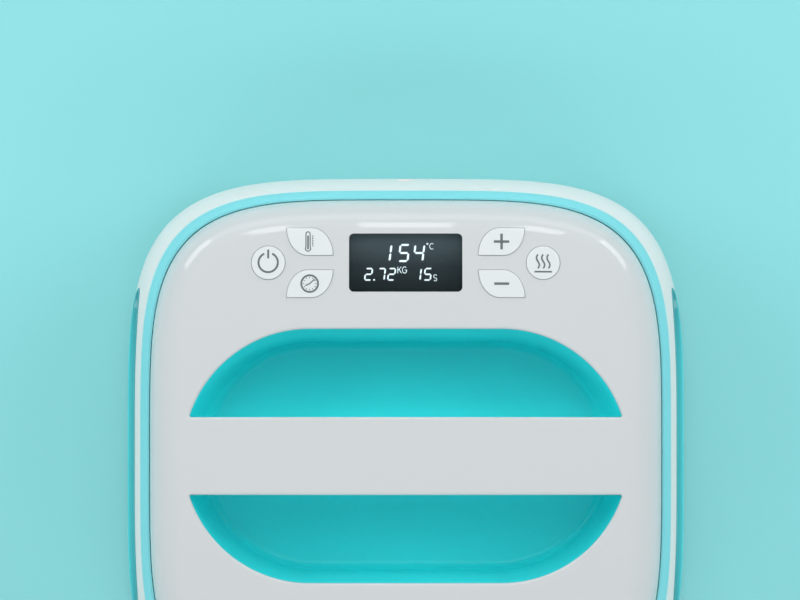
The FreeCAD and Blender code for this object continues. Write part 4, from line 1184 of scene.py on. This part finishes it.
def makeSkirt():
    rows, bottom, wall = skirt["rows"], skirt["bottom"], skirt["wall"]
    levels = [bottom + (skirt["top"] - bottom) * k / rows for k in range(rows + 1)]
    inner = [(skirtHalf(z) - wall, z) for z in levels[::-skirt["innerStride"]]]
    ledge = [(skirtHalf(z) - wall, z) for z in (skirt["chassisZ"], skirt["ledgeZ"])]
    section = [(skirt["footHalf"] - inset, bottom + rise) for inset, rise in skirt["foot"]]
    section += [(skirtHalf(z), z) for z in levels[1:-1]] + [(skirt["rimHalf"], skirt["top"])]
    section += [p for p in inner if p[1] > skirt["chassisZ"] + skirt["clearAbove"]]
    section += [ledge[0], (skirt["ledgeHalf"], skirt["chassisZ"]), (skirt["ledgeHalf"], skirt["ledgeZ"]), ledge[1]]
    section += [p for p in inner if p[1] < skirt["ledgeZ"] - skirt["clearBelow"]]
    mesh = lathe("skirt", section, "skirtWhite")
    cutters = Draft()
    slip = grip["wall"] + grip["gap"]
    mouth, reach = gripOutline(slip), skirt["cutReach"]
    for side in (1, -1):
        floorX = skirt["half"] - grip["depth"] - slip
        cutters.tube([[(side * x, y, z) for y, z in mouth] for x in (floorX, reach)])
    flange = roundedBox(gland["width"] + 2 * gland["gap"], gland["height"] + 2 * gland["gap"],
                        gland["corner"] + gland["gap"], 0.0, gland["z"])
    cutters.tube([[(x, y, z) for x, z in flange] for y in (gland["seatY"], reach)])
    mesh = cutAway(mesh, cutters.mesh("skirtCutters"))
    finishPiece("skirt", mesh, "skirtWhite", stands=["lower_housing"],
                sharpAngle=skirt["sharpAngle"])


def makeGrip(side, name, node):
    # a lined pocket: lip standing just proud of the skirt, walls, rolled floor
    wall, lip, ball, floorX = grip["wall"], grip["lip"], grip["floorRound"], skirt["half"] - grip["depth"]
    outer, inner = grip["lipOuter"], grip["lipInner"]

    def onSkirt(grow, proud):
        return [(side * (skirtReach(y, z) + proud), y, z) for y, z in gripOutline(grow)]

    def atDepth(grow, x):
        return [(side * x, y, z) for y, z in gripOutline(grow)]

    # from the liner's back over its outside, the lip and the walls to the floor
    bevel = grip["backBevel"]
    loops = [atDepth(wall - bevel, floorX - wall), atDepth(wall, floorX - wall + bevel),
             onSkirt(wall, -grip["backSink"])]
    for k in range(grip["outerSteps"] + 1):
        a = math.pi / 2 * k / grip["outerSteps"]
        loops.append(onSkirt(wall - outer * (1 - math.cos(a)), lip - outer * (1 - math.sin(a))))
    for k in range(1, grip["innerSteps"] + 1):
        a = math.pi / 2 * k / grip["innerSteps"]
        loops.append(onSkirt(inner - inner * math.sin(a), lip - inner * (1 - math.cos(a))))
    wallTop = floorX + ball
    for share in grip["wallShares"]:
        loops.append([(side * (wallTop + (skirtReach(y, z) - lip - wallTop) * share), y, z)
                      for y, z in gripOutline(0.0)])
    for k in range(grip["floorSteps"] + 1):
        a = math.pi / 2 * k / grip["floorSteps"]
        loops.append(atDepth(-ball * (1 - math.cos(a)), wallTop - ball * math.sin(a)))
    draft = Draft()
    draft.tube(loops)
    finishPiece(name, draft.mesh(name), "gripBlue", stands=[node], sharpAngle=grip["sharpAngle"])


def makeGland():
    # the flange's face follows the wall's slope; the bore goes straight through
    flange = roundedBox(gland["width"], gland["height"], gland["corner"], 0.0, gland["z"], gland["cornerSteps"])
    count, seat, z0, edge, bore = len(flange), gland["seatY"], gland["z"], gland["edge"], gland["bore"]
    start = math.atan2(flange[0][1] - z0, flange[0][0])
    turns = [start + 2 * math.pi * k / count for k in range(count)]

    def onWall(loop, sink):
        return [(x, skirtReach(x, z) - sink, z) for x, z in loop]

    def ringOf(radius):
        return [(radius * math.cos(a), z0 + radius * math.sin(a)) for a in turns]

    # from the seat over the flange's edge and face, into the bore and back along the sleeve
    loops = [[(x, seat, z) for x, z in flange], onWall(flange, edge + gland["sunk"])]
    for k in range(1, gland["edgeSteps"] + 1):
        a = math.pi / 2 * k / gland["edgeSteps"]
        loops.append(onWall(growLoop(flange, -edge * (1 - math.cos(a))), gland["sunk"] + edge * (1 - math.sin(a))))
    face, mouth = growLoop(flange, -edge), ringOf(bore + gland["mouth"][0][0])
    for share in gland["faceShares"]:
        loops.append(onWall([(mx + (fx - mx) * share, mz + (fz - mz) * share)
                             for (fx, fz), (mx, mz) in zip(face, mouth)], gland["sunk"]))
    loops += [onWall(ringOf(bore + growth), depth) for growth, depth in gland["mouth"]]
    back, high, low = seat - gland["length"], z0 + gland["flat"], z0 - gland["flat"]
    sleeve = [(x, max(min(z, high), low)) for x, z in ringOf(gland["body"] - gland["bodyGap"])]
    loops.append([(x, back, z) for x, z in ringOf(bore)])
    loops += [[(x, y, z) for x, z in sleeve] for y in (back, seat)]
    draft = Draft()
    rows = draft.strip(loops)
    draft.bridge(rows[-1], rows[0])
    finishPiece("cordGland", draft.mesh("cordGland"), "skirtWhite", stands=["cord_gland"])


makeTrimRing()
makeSkirt()
makeGrip(1, "gripRight", "grip_liner_right")
makeGrip(-1, "gripLeft", "grip_liner_left")
makeGland()
print("skirt and ring made")


# underside

plate = {"size": 229.0, "corner": 30.0, "edge": 2.0, "edgeSteps": 8, "turnSteps": 24, "points": 320,
         # insets and heights from the pressing face's rolled edge up over the rim rib
         "back": ((0.0, 9.5), (0.5, 10.0), (2.0, 10.0), (2.0, 15.0), (7.0, 15.0), (7.0, 10.0))}


def makeHeatPlate():
    edge, steps = plate["edge"], plate["edgeSteps"]
    turns = [math.pi / 2 * k / steps for k in range(steps + 1)]
    sections = [(edge * (1 - math.sin(a)), edge * (1 - math.cos(a))) for a in turns] + list(plate["back"])
    loops = []
    for inset, z in sections:
        size = plate["size"] - 2 * inset
        outline = roundedBox(size, size, plate["corner"] - inset, steps=plate["turnSteps"])
        loops.append(evenLoop([(x, y, z) for x, y in outline], plate["points"]))
    draft = Draft()
    draft.tube(loops)
    finishPiece("heatPlate", draft.mesh("heatPlate"), "plateCoating", stands=["heat_plate"])


def evenLoop(loop, count):
    # the same outline with evenly spread points, starting from its first
    flat = np.array([p[:2] for p in loop] + [loop[0][:2]])
    along = np.concatenate([[0], np.cumsum(np.hypot(*np.diff(flat, axis=0).T))])
    want = np.linspace(0, along[-1], count, endpoint=False)
    xs, ys = np.interp(want, along, flat[:, 0]), np.interp(want, along, flat[:, 1])
    return [(x, y, loop[0][2]) for x, y in zip(xs, ys)]


screws = {"headRadius": 2.8, "headHeight": 1.9, "recess": 0.9, "crossWidth": 0.7425, "crossReach": 1.5,
          "armAngle": 16.0, "taper": 0.6, "steps": 24, "frameZ": 10.6, "spread": 62.0, "inset": 6.6,
          "seed": 7, "sharpAngle": 30.0,
          # the head's outline, as shares of its radius and height
          "outline": ((1.0, 0.0), (1.0, 0.45), (0.96, 0.7), (0.85, 0.88), (0.68, 1.0))}


def panHead():
    # a pan head with a cross recess, its top towards -Z
    radius, tall = screws["headRadius"], screws["headHeight"]
    turns = [2 * math.pi * k / screws["steps"] for k in range(screws["steps"])]
    loops = [[(radius * out * math.cos(a), radius * out * math.sin(a), -tall * rise) for a in turns]
             for out, rise in screws["outline"]]
    cross = []
    for a in turns:
        offAxis = abs((math.degrees(a) + 45) % 90 - 45)
        r = screws["crossReach"] if offAxis < screws["armAngle"] else screws["crossWidth"]
        cross.append((r * math.cos(a), r * math.sin(a)))
    taper = screws["taper"]
    loops.append([(x, y, -tall) for x, y in cross])
    loops.append([(x * taper, y * taper, -tall + screws["recess"]) for x, y in cross])
    draft = Draft()
    draft.tube(loops)
    mesh = draft.mesh("panHead")
    tidyMesh(mesh, screws["sharpAngle"])
    return mesh


def screwField():
    # puts a screw head on every point of the object, each turned by a random amount
    tree, net, take = newTree("screwField", "Places", "Screws", (
        ("Head", "NodeSocketObject", None), ("Seed", "NodeSocketInt", 7), ("Head size", "NodeSocketFloat", 1.0)))
    head = net.add("GeometryNodeObjectInfo", {}, {"Object": take["Head"]}, "Geometry")
    turn = net.add("FunctionNodeRandomValue", {"data_type": "FLOAT"},
                   {"Max": 2 * math.pi, "Seed": take["Seed"]}, 1)
    spin = net.add("ShaderNodeCombineXYZ", {}, {2: turn})
    points = net.add("GeometryNodeMeshToPoints", {}, {"Mesh": take["Places"]})
    placed = net.add("GeometryNodeInstanceOnPoints", {}, {"Points": points, "Instance": head, "Rotation": spin,
                                                          "Scale": take["Head size"]})
    closeTree(net, placed, take["Finish"])
    return tree


def makeFrameScrews():
    reach = skirtHalf(screws["frameZ"]) - skirt["wall"] - screws["inset"]
    places = [(side * reach, along * screws["spread"]) for side in (-1, 1) for along in (-1, 1)]
    places += [(y, x) for x, y in places]
    mesh = bpy.data.meshes.new("screwPlaces")
    mesh.from_pydata([(x * mm, y * mm, screws["frameZ"] * mm) for x, y in places], [], [])
    holder = bpy.data.objects.new("screwPlaces", mesh)
    bpy.context.scene.collection.objects.link(holder)
    head = bpy.data.objects.new("panHead", panHead())
    bpy.context.scene.collection.objects.link(head)
    made = runTree(holder, screwField(), {"Head": head, "Seed": screws["seed"], "Head size": 1.0,
                                          "Finish": finishes["zincSheet"]})
    bpy.data.objects.remove(head)
    finishPiece("frameScrewHeads", made, "zincSheet", stands=["frame_screws"],
                sharpAngle=screws["sharpAngle"])


makeHeatPlate()
makeFrameScrews()
print("underside made")


# finishes of the CAD pieces that stay

slotFinish = {
    "white_gloss": "glossWhite", "white_skirt": "skirtWhite", "light_blue": "ringBlue", "blue_green": "wellBlue",
    "key_white": "keyWhite", "switch_stem": "stemRed", "clear_cover": "clearCover", "lcd": "displayGlass",
    "dark_resin": "darkResin", "light_resin": "lightResin", "board": "greenBoard", "plate_alloy": "castAlloy",
    "sheet_steel": "zincSheet", "heater_steel": "heatedTube", "felt": "felt", "copper": "copperCoil",
}
slotOf = {part["node"]: part["material_slot"] for part in frame["record"]["subparts"]}
for node, piece in frame["nodes"].items():
    finish = finishes[slotFinish[slotOf[node]]]
    if not piece.material_slots:
        piece.data.materials.append(finish)
    for holder in piece.material_slots:
        holder.material = finish
print("CAD pieces finished")


# floor, light and camera

studio = {
    "floor": (0.258, 0.686, 0.70), "floorSize": 8.0, "floorZ": -0.0002, "clouding": 1.03,
    # the lens and reflections see this colour past the floor's near part, as on a lit backdrop
    "backdrop": (0.25, 0.645, 0.665, 1), "backdropFrom": 0.6, "backdropFull": 1.5,
    # world brightness at the horizon, above it and straight up
    "world": [(0.0, (0.76, 0.78, 0.80, 1)), (0.4, (0.37, 0.39, 0.41, 1)), (1.0, (0.125, 0.135, 0.145, 1))],
    # name: place, target, width, height, watts, whether it shows in the gloss
    "lamps": {
        "keyBox": ((0.0, 0.86, 2.10), (0.0, 0.0, 0.06), 0.6, 0.5, 4.5, False),
        "rearHigh": ((0.0, 1.15, 1.50), (0.0, 0.0, 0.06), 1.6, 0.6, 3.5, False),
        "frontBox": ((0.0, -1.25, 1.45), (0.0, 0.0, 0.06), 2.6, 0.6, 13.5, True),
        "rearBox": ((0.0, 1.75, 0.85), (0.0, 0.05, 0.06), 3.0, 0.6, 4.5, True),
        "rearLeft": ((-1.45, 1.35, 0.75), (0.0, 0.0, 0.06), 0.7, 0.6, 3.5, True),
        "rearRight": ((1.45, 1.35, 0.75), (0.0, 0.0, 0.06), 0.7, 0.6, 3.5, True),
        "centrePane": ((0.0, 1.19, 1.53), (0.0, 0.08, 0.11), 0.24, 0.5, 1.1, True),
        "leftPane": ((-0.42, 1.15, 1.53), (0.0, 0.08, 0.11), 0.24, 0.5, 1.1, True),
        "rightPane": ((0.42, 1.15, 1.53), (0.0, 0.08, 0.11), 0.24, 0.5, 1.1, True),
        "leftBox": ((-1.4, 0.42, 1.05), (0.0, 0.0, 0.06), 0.9, 0.8, 7.5, False),
        "rightBox": ((1.4, 0.42, 1.05), (0.0, 0.0, 0.06), 0.9, 0.8, 7.5, False),
    },
}


def seenRays(net):
    # the lens, mirrors and glass see the backdrop's colour, and nothing is lit by it
    lens, mirror, glass = (net.add("ShaderNodeLightPath", {}, {}, "Is %s Ray" % kind)
                           for kind in ("Camera", "Glossy", "Transmission"))
    return lens.calc("MAXIMUM", lens.calc("MAXIMUM", lens, mirror), glass)


def makeFloor():
    made, net, shader = newFinish("studioFloor", {"Roughness": 0.75})
    place = net.ownPlace()
    cloud = net.noise(place, 2.0, 2.0)
    lighter = tuple(c * studio["clouding"] for c in studio["floor"])
    plug(net, net.blend(cloud, (*studio["floor"], 1), (*lighter, 1)), shader, "Base Color")
    away = net.add("ShaderNodeVectorMath", {"operation": "LENGTH"}, {0: place}, 1)
    seen = seenRays(net)
    far = net.between(away, studio["backdropFrom"], studio["backdropFull"]) * seen
    lit = net.add("ShaderNodeEmission", {}, {"Color": studio["backdrop"]})
    mixed = net.add("ShaderNodeMixShader", {}, {0: far, 1: Signal(net, shader.outputs[0]), 2: lit})
    plug(net, mixed, made.node_tree.nodes["Material Output"], "Surface")
    size, low = studio["floorSize"], studio["floorZ"]
    mesh = bpy.data.meshes.new("floor")
    corners = [(-size, -size, low), (size, -size, low), (size, size, low), (-size, size, low)]
    mesh.from_pydata(corners, [], [(0, 1, 2, 3)])
    mesh.materials.append(made)
    floor = bpy.data.objects.new("floor", mesh)
    bpy.context.scene.collection.objects.link(floor)


def makeLights():
    for name, (place, target, width, height, watts, glossy) in studio["lamps"].items():
        lamp = bpy.data.lights.new(name, "AREA")
        lamp.shape = "RECTANGLE"
        lamp.size, lamp.size_y, lamp.energy = width, height, watts
        stand = bpy.data.objects.new(name, lamp)
        stand.location = place
        stand.visible_glossy = glossy
        stand.rotation_euler = (Vector(target) - Vector(place)).to_track_quat("-Z", "Y").to_euler()
        bpy.context.scene.collection.objects.link(stand)
    world = bpy.data.worlds.new("studioWorld")
    world.use_nodes = True
    net = Net(world.node_tree)
    height = net.part(net.add("ShaderNodeTexCoord"), 2)
    glow = net.add("ShaderNodeValToRGB", {"stops": studio["world"]}, {0: height})
    light = world.node_tree.nodes["Background"]
    plug(net, glow, light, 0)
    plain = net.add("ShaderNodeBackground", {}, {"Color": studio["backdrop"]})
    seen = seenRays(net)
    mixed = net.add("ShaderNodeMixShader", {}, {0: seen, 1: Signal(net, light.outputs[0]), 2: plain})
    plug(net, mixed, world.node_tree.nodes["World Output"], "Surface")
    bpy.context.scene.world = world


view = {"height": 1.172, "lens": 105.0, "sensor": 36.0, "shiftX": -0.0071, "shiftY": 0.195}


def makeCamera():
    lens = bpy.data.cameras.new("photoCamera")
    lens.lens, lens.sensor_width, lens.sensor_fit = view["lens"], view["sensor"], "HORIZONTAL"
    lens.shift_x, lens.shift_y = view["shiftX"], view["shiftY"]
    camera = bpy.data.objects.new("photoCamera", lens)
    camera.location = (0.0, 0.0, view["height"])
    bpy.context.scene.collection.objects.link(camera)
    bpy.context.scene.camera = camera


makeFloor()
makeLights()
makeCamera()
bpy.context.scene.view_settings.view_transform = "Standard"
print("studio made")
